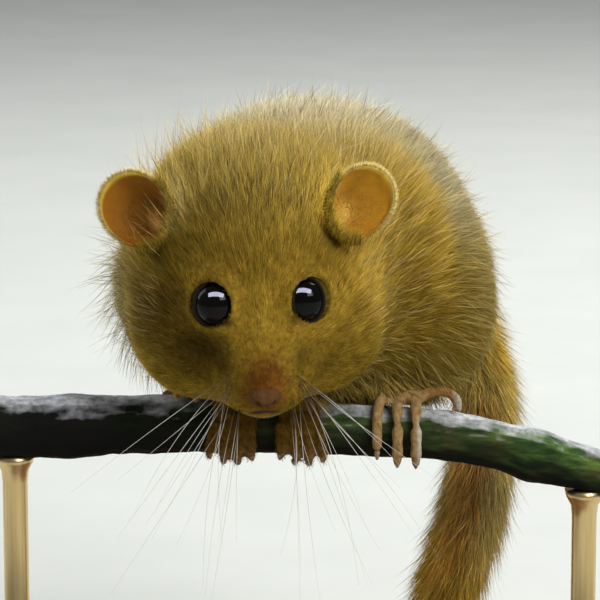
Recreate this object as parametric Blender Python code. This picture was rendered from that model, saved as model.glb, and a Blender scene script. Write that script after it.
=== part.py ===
"""A hazel dormouse at life size, crouched across a short length of twig on a plain display stand.

The animal faces -Y and the twig runs along X. The origin is at the bottom centre of the stand's base.
The soft body is one smooth form, parted by thin cuts into head, neck, torso and haunches.
"""

import math

import bmesh
import bpy
import numpy as np
from mathutils import Matrix, Vector

MM = 0.001
GAP = 0.3 * MM  # between faces that meet

# Driving dimensions, with the coat as it stands
BODY_WIDTH = 41.0 * MM
BODY_HEIGHT = 38.0 * MM
BODY_LENGTH = 46.0 * MM
HEAD_WIDTH = 27.0 * MM
HEAD_LENGTH = 33.5 * MM
EYE_DIAMETER = 5.2 * MM
EAR_LENGTH = 10.4 * MM
EAR_WIDTH = 7.3 * MM
TAIL_LENGTH = 66.0 * MM
TAIL_WIDTH = 9.6 * MM
TWIG_LENGTH = 78.0 * MM
TWIG_DIAMETER = 6.2 * MM
BASE_LENGTH = 96.0 * MM
BASE_DEPTH = 80.0 * MM
BASE_THICKNESS = 7.0 * MM
ROD_DIAMETER = 3.0 * MM

# The twig's middle, and the height that lets the hanging tail clear the base
PERCH = Vector((0.0, -6.0 * MM, 48.0 * MM))

# The head hangs a little, turned and tipped as the animal looks out
HEAD_CENTRE = PERCH + Vector((-5.2, -8.3, 21.1)) * MM
HEAD_PITCH, HEAD_YAW, HEAD_ROLL = math.radians(38.0), math.radians(5.0), math.radians(-2.5)

COLOURS = {
    "coat": (0.45, 0.28, 0.07, 1.0),
    "skin": (0.62, 0.36, 0.22, 1.0),
    "eye": (0.006, 0.005, 0.005, 1.0),
    "bark": (0.10, 0.11, 0.07, 1.0),
    "wood": (0.16, 0.08, 0.04, 1.0),
    "brass": (0.72, 0.53, 0.24, 1.0),
}
ROUGHNESS = {"coat": 0.85, "skin": 0.55, "eye": 0.05, "bark": 0.8, "wood": 0.4, "brass": 0.3}
SHARP_FROM = math.radians(40.0)  # edges that bend more are shown as edges


def turned(pitch=0.0, yaw=0.0, roll=0.0):
    """A turn about X, then Z, with the roll about Y first."""
    return (
        Matrix.Rotation(yaw, 3, "Z") @ Matrix.Rotation(pitch, 3, "X") @ Matrix.Rotation(roll, 3, "Y")
    )


HEAD_TURN = turned(HEAD_PITCH, HEAD_YAW, HEAD_ROLL)


def in_head(x, y, z):
    """A point given in the head's own frame in mm: x to the viewer's right, y towards the nape, z up."""
    return HEAD_CENTRE + HEAD_TURN @ (Vector((x, y, z)) * MM)


def from_perch(x, y, z):
    """A point given in mm from the twig's middle."""
    return PERCH + Vector((x, y, z)) * MM


# Distance fields, negative inside


def ellipsoid(points, centre, radii, turn=None):
    local = points - np.array(centre)
    if turn is not None:
        local = local @ np.array(turn)
    radii = np.array(radii) * MM
    near = np.linalg.norm(local / radii, axis=1)
    slope = np.linalg.norm(local / radii**2, axis=1)
    return near * (near - 1.0) / np.maximum(slope, 1e-9)


def taper(points, start, end, start_radius, end_radius):
    """A rounded cone between two points."""
    start, end = np.array(start), np.array(end)
    axis = end - start
    share = np.clip((points - start) @ axis / (axis @ axis), 0.0, 1.0)
    radius = (start_radius + (end_radius - start_radius) * share) * MM
    return np.linalg.norm(points - start - share[:, None] * axis, axis=1) - radius


def merge(fields, blend):
    """The smooth union of distance fields, rounded over the blend in mm."""
    blend = blend * MM
    total = fields[0]
    for field in fields[1:]:
        share = np.clip(0.5 + 0.5 * (field - total) / blend, 0.0, 1.0)
        total = field * (1.0 - share) + total * share - blend * share * (1.0 - share)
    return total


# The trunk's forms from the twig's middle, and the half sizes of each but the barrel, in mm
TRUNK_YAW = math.radians(10.0)  # the body lies across the twig, its rump to the animal's left
BARREL = (1.2, 14.5, 18.3)
CHEST, CHEST_HALF = (-4.8, 3.0, 18.0), (17.6, 12.5, 10.6)
RUMP, RUMP_HALF = (5.0, 27.0, 15.0), (14.5, 12.0, 12.5)
THIGHS, THIGH_HALF = ((14.6, 11.0, 11.8), (-12.2, 14.0, 12.2)), (9.4, 14.0, 10.6)
TRUNK_BLEND = 5.5

# The head's forms in its own frame, with half sizes or radii, in mm
CRANIUM, CRANIUM_DEPTH, CRANIUM_HEIGHT = (0.0, 1.0, 0.3), 13.5, 12.2
CHEEK, CHEEK_HALF = (6.9, -3.4, -5.0), (8.6, 10.2, 8.6)
SNOUT_ROOT, SNOUT_RADII = (0.0, -5.5, -1.1), (9.2, 3.4)
SNOUT_SHORT = 16.9  # of the head's length, from its back to the snout's round end
JAW, JAW_HALF = (0.0, -11.2, -5.2), (3.9, 6.2, 3.0)
PAD, PAD_HALF = (2.4, -15.6, -2.2), (3.0, 3.4, 2.6)
NOSE, NOSE_HALF = (0.0, -19.1, 0.4), (1.5, 1.1, 1.1)
HEAD_BLEND, PAD_BLEND, NOSE_BLEND = 5.0, 1.2, 0.5

# The neck's two ends: in the head's frame, and from the twig's middle
NECK_FRONT, NECK_BACK, NECK_RADII = (0.0, 4.0, -0.5), (-3.5, 7.0, 20.0), (12.4, 13.2)
NECK_BLEND, SHOULDER_BLEND = 4.0, 3.5


def trunk_field(points):
    """Torso, shoulders, haunches and rump."""
    yaw = turned(yaw=-TRUNK_YAW)
    half = (BODY_WIDTH / 2 / MM, BODY_LENGTH / 2 / MM, BODY_HEIGHT / 2 / MM)
    barrel = ellipsoid(points, from_perch(*BARREL), half, yaw)
    chest = ellipsoid(points, from_perch(*CHEST), CHEST_HALF)
    rump = ellipsoid(points, from_perch(*RUMP), RUMP_HALF, yaw)
    thighs = [ellipsoid(points, from_perch(*thigh), THIGH_HALF, yaw) for thigh in THIGHS]
    return merge([barrel, chest, rump, *thighs], TRUNK_BLEND)


def head_field(points):
    """Cranium, cheeks, snout, whisker pads, lower jaw and nose pad."""
    def form(place, half, side=1):
        x, y, z = place
        return ellipsoid(points, in_head(side * x, y, z), half, HEAD_TURN)

    cranium = form(CRANIUM, (HEAD_WIDTH / 2 / MM, CRANIUM_DEPTH, CRANIUM_HEIGHT))
    cheeks = [form(CHEEK, CHEEK_HALF, side) for side in (-1, 1)]
    snout_end = in_head(0, SNOUT_SHORT - HEAD_LENGTH / MM, -0.3)
    snout = taper(points, in_head(*SNOUT_ROOT), snout_end, *SNOUT_RADII)
    soft = merge([cranium, *cheeks, snout, form(JAW, JAW_HALF)], HEAD_BLEND)
    pads = [form(PAD, PAD_HALF, side) for side in (-1, 1)]
    return merge([merge([soft, *pads], PAD_BLEND), form(NOSE, NOSE_HALF)], NOSE_BLEND)


def neck_field(points):
    """The nape and throat, from inside the head to the shoulders."""
    return taper(points, in_head(*NECK_FRONT), from_perch(*NECK_BACK), *NECK_RADII)


def body_field(points):
    """The whole coat's surface, but for the legs, ears and tail."""
    fore = merge([head_field(points), neck_field(points)], NECK_BLEND)
    return merge([trunk_field(points), fore], SHOULDER_BLEND)


def surface_along(field, start, direction, reach=70.0 * MM):
    """The outermost points of a field's surface along rays from a start."""
    start = np.array(start)
    direction = np.atleast_2d(np.array(direction, float))
    direction = direction / np.linalg.norm(direction, axis=1)[:, None]
    distance = np.full(len(direction), reach)
    for _ in range(90):
        distance -= 0.7 * field(start + distance[:, None] * direction)
    return start + distance[:, None] * direction


def behind(point, normal):
    """The field of the half space on the far side of a plane from its normal."""
    point, normal = np.array(point), np.array(normal)
    return lambda points: (points - point) @ normal


# Mesh making


def new_object(name, mesh, colour=None):
    made = bpy.data.objects.new(name, mesh)
    bpy.context.scene.collection.objects.link(made)
    if colour:
        finish(made, colour)
    return made


def finish(made, colour):
    """Gives an object its material and smooth shading."""
    material = bpy.data.materials.get(colour) or bpy.data.materials.new(colour)
    material.use_nodes = True
    shader = material.node_tree.nodes["Principled BSDF"]
    shader.inputs["Base Color"].default_value = COLOURS[colour]
    shader.inputs["Roughness"].default_value = ROUGHNESS[colour]
    shader.inputs["Metallic"].default_value = 1.0 if colour == "brass" else 0.0
    made.data.materials.clear()
    made.data.materials.append(material)
    made.data.shade_smooth()
    made.data.set_sharp_from_angle(angle=SHARP_FROM)


def mesh_from(name, points, faces):
    mesh = bpy.data.meshes.new(name)
    mesh.from_pydata([tuple(p) for p in points], [], faces)
    shape = bmesh.new()
    shape.from_mesh(mesh)
    bmesh.ops.recalc_face_normals(shape, faces=shape.faces)
    shape.to_mesh(mesh)
    shape.free()
    return mesh


def ball_on(name, field, centre, axis, segments, rings):
    """A globe whose poles lie on an axis, each of its points moved out to a field's surface."""
    shape = bmesh.new()
    bmesh.ops.create_uvsphere(shape, u_segments=segments, v_segments=rings, radius=1.0)
    turn = Vector(axis).to_track_quat("Z", "X").to_matrix()
    rays = np.array([turn @ v.co for v in shape.verts])
    for vert, place in zip(shape.verts, surface_along(field, centre, rays)):
        vert.co = place
    mesh = bpy.data.meshes.new(name)
    shape.to_mesh(mesh)
    shape.free()
    return mesh


def keep_behind(mesh, point, normal):
    """Cuts a closed mesh by a plane, drops what lies on the normal's side and caps the cut."""
    shape = bmesh.new()
    shape.from_mesh(mesh)
    whole = shape.verts[:] + shape.edges[:] + shape.faces[:]
    bmesh.ops.bisect_plane(
        shape, geom=whole, dist=1e-7, plane_co=point, plane_no=normal, clear_outer=True
    )
    rim = [edge for edge in shape.edges if edge.is_boundary]
    bmesh.ops.edgeloop_fill(shape, edges=rim)
    bmesh.ops.recalc_face_normals(shape, faces=shape.faces)
    shape.to_mesh(mesh)
    shape.free()
    return mesh


def tube(name, centres, radii, sides, flat=1.0, across=None):
    """A closed tube along points. flat squeezes its section at right angles to across."""
    centres = [Vector(c) for c in centres]
    points, faces = [], []
    for i, centre in enumerate(centres):
        along = (centres[min(i + 1, len(centres) - 1)] - centres[max(i - 1, 0)]).normalized()
        wide = Vector(across or ((0, 0, 1) if abs(along.z) < 0.8 else (1, 0, 0)))
        wide = (wide - wide.dot(along) * along).normalized()
        thin = along.cross(wide)
        for k in range(sides):
            angle = math.tau * k / sides
            points.append(
                centre + float(radii[i]) * (math.cos(angle) * wide + flat * math.sin(angle) * thin)
            )
    for i in range(len(centres) - 1):
        for k in range(sides):
            a, b = i * sides + k, i * sides + (k + 1) % sides
            faces.append((a, b, b + sides, a + sides))
    faces.append(tuple(range(sides)))
    faces.append(tuple(range(len(points) - sides, len(points))))
    return mesh_from(name, points, faces)


def smooth_path(points, count):
    """Evenly spaced points on a smooth curve through the given ones."""
    points = [Vector(p) for p in points]
    ends = [2 * points[0] - points[1], *points, 2 * points[-1] - points[-2]]
    fine = []
    for i in range(len(points) - 1):
        a, b, c, d = ends[i : i + 4]
        for step in range(24):
            t = step / 24
            fine.append(
                0.5 * (2 * b + (c - a) * t + (2 * a - 5 * b + 4 * c - d) * t**2
                       + (3 * b - a - 3 * c + d) * t**3)
            )
    fine.append(points[-1])
    lengths = [0.0]
    for a, b in zip(fine, fine[1:]):
        lengths.append(lengths[-1] + (b - a).length)
    wanted = np.linspace(0.0, lengths[-1], count)
    columns = [np.interp(wanted, lengths, [p[k] for p in fine]) for k in range(3)]
    return [Vector(p) for p in zip(*columns)]


def combine(target, others, operation):
    """Applies one Boolean of a collection of closed meshes to an object, and removes them."""
    tools = bpy.data.collections.new("tools")
    bpy.context.scene.collection.children.link(tools)
    for other in others:
        tools.objects.link(other)
    boolean = target.modifiers.new("combine", "BOOLEAN")
    boolean.operand_type = "COLLECTION"
    boolean.collection = tools
    boolean.operation = operation
    for solver in ("EXACT", "MANIFOLD"):
        boolean.solver = solver
        bpy.context.view_layer.update()
        graph = bpy.context.evaluated_depsgraph_get()
        mesh = largest_shell(bpy.data.meshes.new_from_object(target.evaluated_get(graph)))
        if is_closed(mesh):
            break
    target.modifiers.clear()
    target.data = mesh
    for other in others:
        bpy.data.objects.remove(other)
    bpy.data.collections.remove(tools)
    return target


def is_closed(mesh):
    """Whether each edge of a mesh joins just two faces."""
    shape = bmesh.new()
    shape.from_mesh(mesh)
    closed = len(shape.faces) > 3 and all(len(edge.link_faces) == 2 for edge in shape.edges)
    shape.free()
    return closed


def largest_shell(mesh):
    """Keeps the connected surface with the most faces."""
    shape = bmesh.new()
    shape.from_mesh(mesh)
    bmesh.ops.remove_doubles(shape, verts=shape.verts, dist=1e-7)
    shape.faces.ensure_lookup_table()
    left, best = set(shape.faces), []
    while left:
        shell, edge = [], [next(iter(left))]
        left.discard(edge[0])
        while edge:
            face = edge.pop()
            shell.append(face)
            for near in {f for e in face.edges for f in e.link_faces} & left:
                left.discard(near)
                edge.append(near)
        best = max(best, shell, key=len)
    keep = set(best)
    bmesh.ops.delete(shape, geom=[f for f in shape.faces if f not in keep], context="FACES")
    shape.to_mesh(mesh)
    shape.free()
    return mesh


# The twig

TWIG_HALF = TWIG_LENGTH / 2 / MM
TWIG_ROUTE = [
    (-TWIG_HALF, 0.6, 0.2), (-32, 0, 0), (-15, -0.3, 0.5), (0, 0, 0), (18, 0, -1.2), (32, 0.2, -4.6),
    (TWIG_HALF, 0.4, -6.8),
]
TWIG_TAPER = (1.22, 0.86)  # radius at the left and right ends, as shares of the mean
KNOTS = ((-27.0, 0.10), (28.0, 0.16))  # swellings: place along X in mm, and share of the radius
KNOT_REACH = 2.2
BUD_PLACE, BUD_RISE, BUD_HALF = 26.0, 2.9, (1.7, 1.1, 0.9)  # along the twig, over its axis, half sizes, mm
CUTTER_SLACK = 0.08 * MM  # over the gap, for the bark's ridges


def twig_radius(x):
    """The twig's radius at a place along X."""
    left, right = TWIG_TAPER
    share = (x / MM + TWIG_HALF) / (2 * TWIG_HALF)
    swell = sum(size * math.exp(-(((x / MM - at) / KNOT_REACH) ** 2)) for at, size in KNOTS)
    return TWIG_DIAMETER / 2 * (left + (right - left) * share) * (1 + swell)


def twig_centre(x):
    """The twig's axis at a place along X in mm."""
    route = [from_perch(*p) for p in TWIG_ROUTE]
    xs = [p.x for p in route]
    return Vector((x * MM, *(float(np.interp(x * MM, xs, [p[k] for p in route])) for k in (1, 2))))


def twig_mesh(name, grow=0.0, sides=14, count=28, rough=0.05):
    centres = smooth_path([from_perch(*p) for p in TWIG_ROUTE], count)
    mesh = tube(name, centres, [twig_radius(c.x) + grow for c in centres], sides)
    for i, vert in enumerate(mesh.vertices):
        ring, side = divmod(i, sides)
        ridge = math.sin(side * 2.4 + ring * 0.35) + 0.6 * math.sin(side * 4.1 - ring * 0.8)
        vert.co += (vert.co - centres[ring]).normalized() * ridge * rough * MM
    return mesh


def make_perch():
    perch = new_object("perch", twig_mesh("perch"))
    bud_at = twig_centre(BUD_PLACE) + Vector((0, -0.4, BUD_RISE)) * MM
    bud = globe("bud", bud_at, 1.0 * MM, 10, 6, BUD_HALF)
    combine(perch, [new_object("bud", bud)], "UNION")
    finish(perch, "bark")
    return perch


def perch_cutter(name="perch_cutter"):
    """The twig with the gap round it, to cut what rests on it."""
    return new_object(name, twig_mesh(name, grow=GAP + CUTTER_SLACK, sides=24, rough=0.0))


# Head, neck, torso and haunches

HEAD_CUT = (from_perch(-5.5, -2.0, 19.0), Vector((0.05, -0.95, 0.30)).normalized())
NECK_CUT = (from_perch(-5.5, 4.6, 18.0), Vector((0.05, -0.97, 0.22)).normalized())
CUT_MARGIN = 5.0 * MM  # modelled past a cut before it is made
HAUNCH_CUTS = {
    "left": (from_perch(14.2, 8.0, 8.0), Vector((0.80, -0.22, -0.56)).normalized()),
    "right": (from_perch(-13.0, 10.0, 8.0), Vector((-0.80, -0.22, -0.56)).normalized()),
}
EYE_DIRECTION = (0.455, -0.86, 0.50)  # from the head's centre to an eye, mirrored for the other
EYE_LOOK = (0.60, -0.64, 0.48)  # the way an eye faces
EYE_DEPTH = 1.15 * MM  # of its centre under the coat
LID_RADIUS = 2.6 * MM
LID_THICKNESS = 1.1 * MM
LID_RISE = 1.15 * MM  # of the lids' rim over the eye's centre


def head_side(side, x, y, z):
    """A direction of the head's frame in world axes, mirrored by side."""
    return HEAD_TURN @ Vector((side * x, y, z)).normalized()


def surface_normal(point):
    """The way the body's surface faces near a point."""
    steps = np.eye(3) * 0.4 * MM
    rise = body_field(np.array(point) + steps) - body_field(np.array(point) - steps)
    return Vector(rise).normalized()


def eye_place(side):
    """An eye's centre and the way it looks."""
    skin = Vector(surface_along(body_field, HEAD_CENTRE, head_side(side, *EYE_DIRECTION))[0])
    look = (surface_normal(skin) + head_side(side, *EYE_LOOK) * 0.4).normalized()
    return skin - look * EYE_DEPTH, look


def globe(name, centre, radius, segments=16, rings=11, stretch=(1, 1, 1), turn=None):
    shape = bmesh.new()
    bmesh.ops.create_uvsphere(shape, u_segments=segments, v_segments=rings, radius=1.0)
    turn = turn or Matrix.Identity(3)
    for vert in shape.verts:
        vert.co = Vector(centre) + turn @ Vector([radius * s * c for s, c in zip(stretch, vert.co)])
    mesh = bpy.data.meshes.new(name)
    shape.to_mesh(mesh)
    shape.free()
    return mesh


def lid_mesh(name, side):
    """The rim of both lids, a ring round the eye."""
    centre, look = eye_place(side)
    turn = look.to_track_quat("Z", "Y").to_matrix()
    points, faces = [], []
    around, through = 24, 6
    for i in range(around):
        angle = math.tau * i / around
        out = turn @ Vector((math.cos(angle), math.sin(angle), 0.0))
        for k in range(through):
            turn_angle = math.tau * k / through
            points.append(
                centre
                + look * (LID_RISE + LID_THICKNESS / 2 * math.sin(turn_angle))
                + out * (LID_RADIUS + LID_THICKNESS / 2 * math.cos(turn_angle))
            )
            a, b = i * through + k, i * through + (k + 1) % through
            across = (i + 1) % around * through
            faces.append((a, b, across + (k + 1) % through, across + k))
    return mesh_from(name, points, faces)


MOUTH_WIDTH = 0.7 * MM  # of the line between the lips
MOUTH_BACK = 5.0  # from the middle of the lips to a corner, along the head, in mm


def mouth_mesh(name):
    """The parting of the lips, a thin tube to cut with, from one corner under the snout to the other."""
    route = []
    for step in range(-7, 8):
        share = step / 7
        aside = abs(share)
        start = in_head(0, -16.0 + MOUTH_BACK * aside**1.3, -1.6)
        out = HEAD_TURN @ Vector((0.62 * share, aside - 1.0, -0.5 - 0.4 * aside))
        route.append(Vector(surface_along(body_field, start, out, 12.0 * MM)[0]))
    return tube(name, route, [MOUTH_WIDTH / 2] * len(route), 6)


def nose_cutters():
    """Two nostrils and the groove between them and the lip."""
    cutters = []
    for side in (-1, 1):
        centre = in_head(side * 0.85, -20.0, 0.35)
        cutters.append(new_object("nostril", globe("nostril", centre, 0.42 * MM, 8, 6, (1.3, 1.6, 0.8))))
    route = [in_head(0, -20.1, -0.3), in_head(0, -19.6, -1.6), in_head(0, -18.8, -3.0)]
    cutters.append(new_object("philtrum", tube("philtrum", route, [0.25 * MM] * 3, 6)))
    return cutters


def make_head():
    point, normal = HEAD_CUT
    reach = behind(point - normal * CUT_MARGIN, -normal)
    forward = HEAD_TURN @ Vector((0, -1, 0))
    mesh = ball_on(
        "head", lambda p: np.maximum(body_field(p), reach(p)), HEAD_CENTRE, forward, 44, 32
    )
    keep_behind(mesh, point, -normal)
    head = new_object("head", mesh)
    combine(head, [new_object("lids", lid_mesh("lids", side)) for side in (-1, 1)], "UNION")
    sockets = [
        new_object("socket", globe("socket", eye_place(side)[0], EYE_DIAMETER / 2 + GAP))
        for side in (-1, 1)
    ]
    mouth = new_object("mouth", mouth_mesh("mouth"))
    combine(head, [*sockets, mouth, *nose_cutters()], "DIFFERENCE")
    return head


def make_eyes():
    eyes = []
    for side, name in ((1, "eye_left"), (-1, "eye_right")):
        eyes.append(new_object(name, globe(name, eye_place(side)[0], EYE_DIAMETER / 2), "eye"))
    return eyes


def make_neck():
    front, front_normal = HEAD_CUT
    back, back_normal = NECK_CUT
    centre = (front + back) / 2
    limit = 34.0 * MM
    mesh = ball_on(
        "neck",
        lambda p: np.maximum(body_field(p), np.linalg.norm(p - np.array(centre), axis=1) - limit),
        centre,
        front_normal,
        36,
        36,
    )
    keep_behind(mesh, front - front_normal * GAP, front_normal)
    keep_behind(mesh, back, -back_normal)
    return new_object("neck", mesh)


TRUNK_CENTRE = from_perch(0.9, 13.0, 18.0)
TRUNK_AXIS = Vector((math.sin(TRUNK_YAW), math.cos(TRUNK_YAW), 0.0))


def make_trunk():
    """The torso and both haunches, parted by plane cuts from one form."""
    point, normal = NECK_CUT
    reach = behind(point + normal * CUT_MARGIN, normal)
    whole = ball_on(
        "torso", lambda p: np.maximum(body_field(p), reach(p)), TRUNK_CENTRE, TRUNK_AXIS, 42, 28
    )
    keep_behind(whole, point - normal * GAP, normal)
    haunches = []
    for name, (cut, outward) in HAUNCH_CUTS.items():
        piece = whole.copy()
        keep_behind(piece, cut + outward * GAP / 2, -outward)
        haunches.append(new_object("haunch_" + name, piece))
        keep_behind(whole, cut - outward * GAP / 2, outward)
    return new_object("torso", whole), haunches


def body_cutters():
    """The body's form with the gap round it, as two globes, to cut what grows from it."""
    globes = [mesh for mesh in bpy.data.meshes if mesh.name.startswith("body_cutter")]
    if not globes:
        forward = HEAD_TURN @ Vector((0, -1, 0))
        for centre, axis in ((HEAD_CENTRE, forward), (TRUNK_CENTRE, TRUNK_AXIS)):
            globes.append(
                ball_on("body_cutter", lambda p: body_field(p) - GAP, centre, axis, 44, 32)
            )
    return [new_object("cutter", mesh) for mesh in globes]


def meet(part, cutters):
    """Cuts a part back to the gap from what it meets."""
    return combine(part, cutters, "DIFFERENCE")


# Ears

# By side, in the head's frame with x outwards: the middle of each cup in mm, the way it stands and looks
EAR_MIDDLE = {1: (12.4, -0.4, 11.4), -1: (14.3, 1.6, 9.1)}
EAR_RISE = {1: (0.46, 0.69, 0.56), -1: (0.36, 0.73, 0.57)}
EAR_FACE = {1: (0.30, -0.62, 0.72), -1: (0.20, -0.63, 0.72)}
EAR_WALL = 0.75 * MM
EAR_CUP = 2.3 * MM
EAR_LOBE, LOBE_HALF = (1.3, 1.4, 2.5), (1.5, 1.4, 2.0)  # inwards, into the cup and down, in mm
EAR_STEM = ((2.4, 1.2), (3.6, 2.3), (6.5, 3.2))  # behind the cup's rim, and its radius there, in mm


def ear_mesh(name, side):
    """A rounded cup, wider towards its top."""
    rise = head_side(side, *EAR_RISE[side])
    face = head_side(side, *EAR_FACE[side])
    face = (face - face.dot(rise) * rise).normalized()
    wide = rise.cross(face)
    x, y, z = EAR_MIDDLE[side]
    centre = in_head(side * x, y, z)
    points, faces = [], []
    around, out = 24, 6
    for layer in (0, 1):
        for ring in range(out + 1):
            share = ring / out
            for k in range(around):
                angle = math.tau * k / around
                high = math.sin(angle)
                half_width = EAR_WIDTH / 2 * (1.0 + 0.10 * high)
                bowl = EAR_CUP * (1.0 - share**2.2) + (0.0 if layer == 0 else EAR_WALL)
                points.append(
                    centre
                    + wide * share * half_width * math.cos(angle)
                    + rise * share * (EAR_LENGTH / 2) * high
                    - face * bowl
                )
    layer_size = (out + 1) * around
    for layer in (0, 1):
        for ring in range(1, out):
            for k in range(around):
                a = layer * layer_size + ring * around + k
                b = layer * layer_size + ring * around + (k + 1) % around
                faces.append((a, b, b + around, a + around))
        first = layer * layer_size + around
        faces.append(tuple(first + k for k in range(around)))
    for k in range(around):
        a, b = out * around + k, out * around + (k + 1) % around
        faces.append((a, b, b + layer_size, a + layer_size))
    used = sorted({i for face_ids in faces for i in face_ids})
    index = {old: new for new, old in enumerate(used)}
    return mesh_from(
        name, [points[i] for i in used], [tuple(index[i] for i in ids) for ids in faces]
    ), centre, rise, face, wide


def make_ear(side, name):
    """The cup with the ridge at its foot, on a short stem that widens into the head."""
    mesh, centre, rise, face, wide = ear_mesh(name, side)
    ear = new_object(name, mesh)
    frame = Matrix((wide, -face, rise)).transposed()
    inwards, into, down = EAR_LOBE
    lobe_at = centre - (rise * down + face * into + wide * side * inwards) * MM
    lobe = globe("lobe", lobe_at, 1.0 * MM, 12, 8, LOBE_HALF, frame)
    foot = centre - rise * EAR_LENGTH / 4
    back = (HEAD_CENTRE - foot).normalized() - face
    route = [foot - face * EAR_STEM[0][0] * MM]
    for (near, _), (far, _) in zip(EAR_STEM, EAR_STEM[1:]):
        route.append(route[-1] + back.normalized() * (far - near) * MM)
        back = HEAD_CENTRE - foot
    stem = tube("stem", route, [radius * MM for _, radius in EAR_STEM], 14)
    combine(ear, [new_object("lobe", lobe), new_object("stem", stem)], "UNION")
    return meet(ear, body_cutters())


# Legs and feet

DIGIT = 0.78 * MM  # radius of a finger or toe
DIGIT_SHAPE = (1.0, 1.03, 0.88, 0.98, 0.84, 0.93, 0.62)  # its radius from root to end
FINGER_STEP = 1.45  # along the twig, in mm
FINGER_ENDS = (128.0, 146.0, 150.0, 132.0)  # how far round the twig each finger reaches, in degrees
PALM_HALF = (2.9, 2.2, 1.55)


def round_twig(x, angle, clear):
    """A point round the twig: angle 0 is its top and 90 degrees its front, clear of the bark by clear."""
    out = twig_radius(x * MM) + clear
    turn = math.radians(angle)
    return twig_centre(x) + Vector((0.0, -math.sin(turn) * out, math.cos(turn) * out))


def digit_mesh(name, route, radius, claw=True):
    """A finger or toe: two swellings at its joints, a pad at its end and a small claw."""
    centres = smooth_path(route, 7)
    radii = [radius * share for share in DIGIT_SHAPE]
    tip = centres[-1] + (centres[-1] - centres[-2]) * 0.45
    if claw:
        centres.append(tip)
        radii.append(radius * 0.18)
    return tube(name, centres, radii, 6)


def make_forepaw(name, x, lean):
    """Four fingers over the front of the twig from a palm on its top."""
    palm_at = round_twig(x, 28.0, 1.75 * MM)
    paw = new_object(name, globe(name, palm_at, 1.0 * MM, 14, 8, PALM_HALF))
    fingers = []
    for k, end_angle in enumerate(FINGER_ENDS):
        offset = (k - 1.5) * FINGER_STEP
        route = [
            round_twig(x + offset * 0.7, 18.0, 1.45 * MM),
            round_twig(x + offset * 0.95, 62.0, 1.25 * MM),
            round_twig(x + offset * 1.1 + lean * 0.3, 100.0, 1.2 * MM),
            round_twig(x + offset * 1.15 + lean * 0.5, end_angle, 1.15 * MM),
        ]
        fingers.append(new_object("finger", digit_mesh("finger", route, DIGIT)))
    combine(paw, fingers, "UNION")
    sleeve = new_object("sleeve", foreleg_mesh("sleeve", x, lean, GAP))
    return meet(paw, [perch_cutter(), sleeve, *body_cutters()])


FORELEG_TAPER = (2.0, 2.5, 2.6, 2.6, 2.5, 2.4, 2.2, 2.0, 1.8)  # radii from shoulder to wrist, mm
FORELEGS = {"left": (-0.2, 1), "right": (-7.8, -1)}  # place along the twig in mm, and side


def foreleg_mesh(name, x, lean, grow=0.0):
    """The forearm, sunk in the neck's coat, down to the wrist."""
    wrist = round_twig(x, 20.0, 2.4 * MM)
    spread = Vector((0, 0, grow))
    route = [
        from_perch(x + lean * 2.4, -0.8, 13.0) + spread,
        from_perch(x + lean * 1.2, -0.9, 9.5),
        wrist + Vector((0, 0.3, 1.6)) * MM,
        wrist + Vector((0, 0, -0.4)) * MM - spread,
    ]
    centres = smooth_path(route, len(FORELEG_TAPER))
    return tube(name, centres, [r * MM + grow for r in FORELEG_TAPER], 14)


def foreleg_sleeves():
    """Both forelegs with the gap round them, to cut the neck that they are sunk in."""
    return [new_object("sleeve", foreleg_mesh("sleeve", x, lean, GAP)) for x, lean in FORELEGS.values()]


def make_foreleg(name, x, lean):
    return meet(new_object(name, foreleg_mesh(name, x, lean)), [perch_cutter()])


HIND_FEET = {"left": (12.6, 1, 0.0), "right": (-13.4, -1, 95.0)}  # place, side, and degrees set back
SOLE = (1.5, 1.75, 1.9, 2.1, 2.35, 2.55, 2.6, 2.2, 1.4)  # half width from heel to toes, mm
SOLE_FLAT = 0.62
HIND_TOES = (  # place along the twig, then angles over it from the first joint to the tip
    (-3.1, (10.0, 48.0, 88.0, 118.0)),
    (-1.1, (8.0, 46.0, 92.0, 132.0)),
    (1.1, (8.0, 46.0, 92.0, 132.0)),
)


def make_hind_foot(name, x, side, turn_back):
    """Three toes over the twig, one reaching outwards along its top and a short inner one."""
    heel = round_twig(x + side * 2.2, -62.0, 3.4 * MM)
    ball_of_foot = round_twig(x, -6.0 - turn_back, 1.75 * MM)
    sole = tube(
        name,
        smooth_path([heel, (heel + ball_of_foot) / 2 + Vector((0, 0, 0.7)) * MM, ball_of_foot,
                     ball_of_foot + Vector((0, -1.3, -0.3)) * MM], 9),
        [half * MM for half in SOLE],
        14,
        flat=SOLE_FLAT,
        across=(1, 0, 0),
    )
    foot = new_object(name, sole)
    toes = []
    for offset, angles in HIND_TOES:
        place = x + side * offset
        route = [round_twig(place, angle - turn_back, 1.3 * MM) for angle in angles]
        toes.append(digit_mesh("toe", route, DIGIT * 1.08))
    outer = [
        round_twig(x + side * 1.6, 2.0 - turn_back, 1.6 * MM),
        round_twig(x + side * 3.6, 2.0 - turn_back, 2.6 * MM),
        round_twig(x + side * 5.6, 4.0 - turn_back, 2.3 * MM),
        round_twig(x + side * 6.3, 14.0 - turn_back, 1.05 * MM),
    ]
    inner = [
        round_twig(x - side * 1.8, -14.0 - turn_back, 1.5 * MM),
        round_twig(x - side * 3.3, -20.0 - turn_back, 1.5 * MM),
        round_twig(x - side * 4.6, -16.0 - turn_back, 1.1 * MM),
    ]
    toes.append(digit_mesh("toe", outer, DIGIT))
    toes.append(digit_mesh("toe", inner, DIGIT * 0.85, claw=False))
    combine(foot, [new_object("toe", toe) for toe in toes], "UNION")
    return meet(foot, body_cutters() + [perch_cutter()])


# Tail

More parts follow.
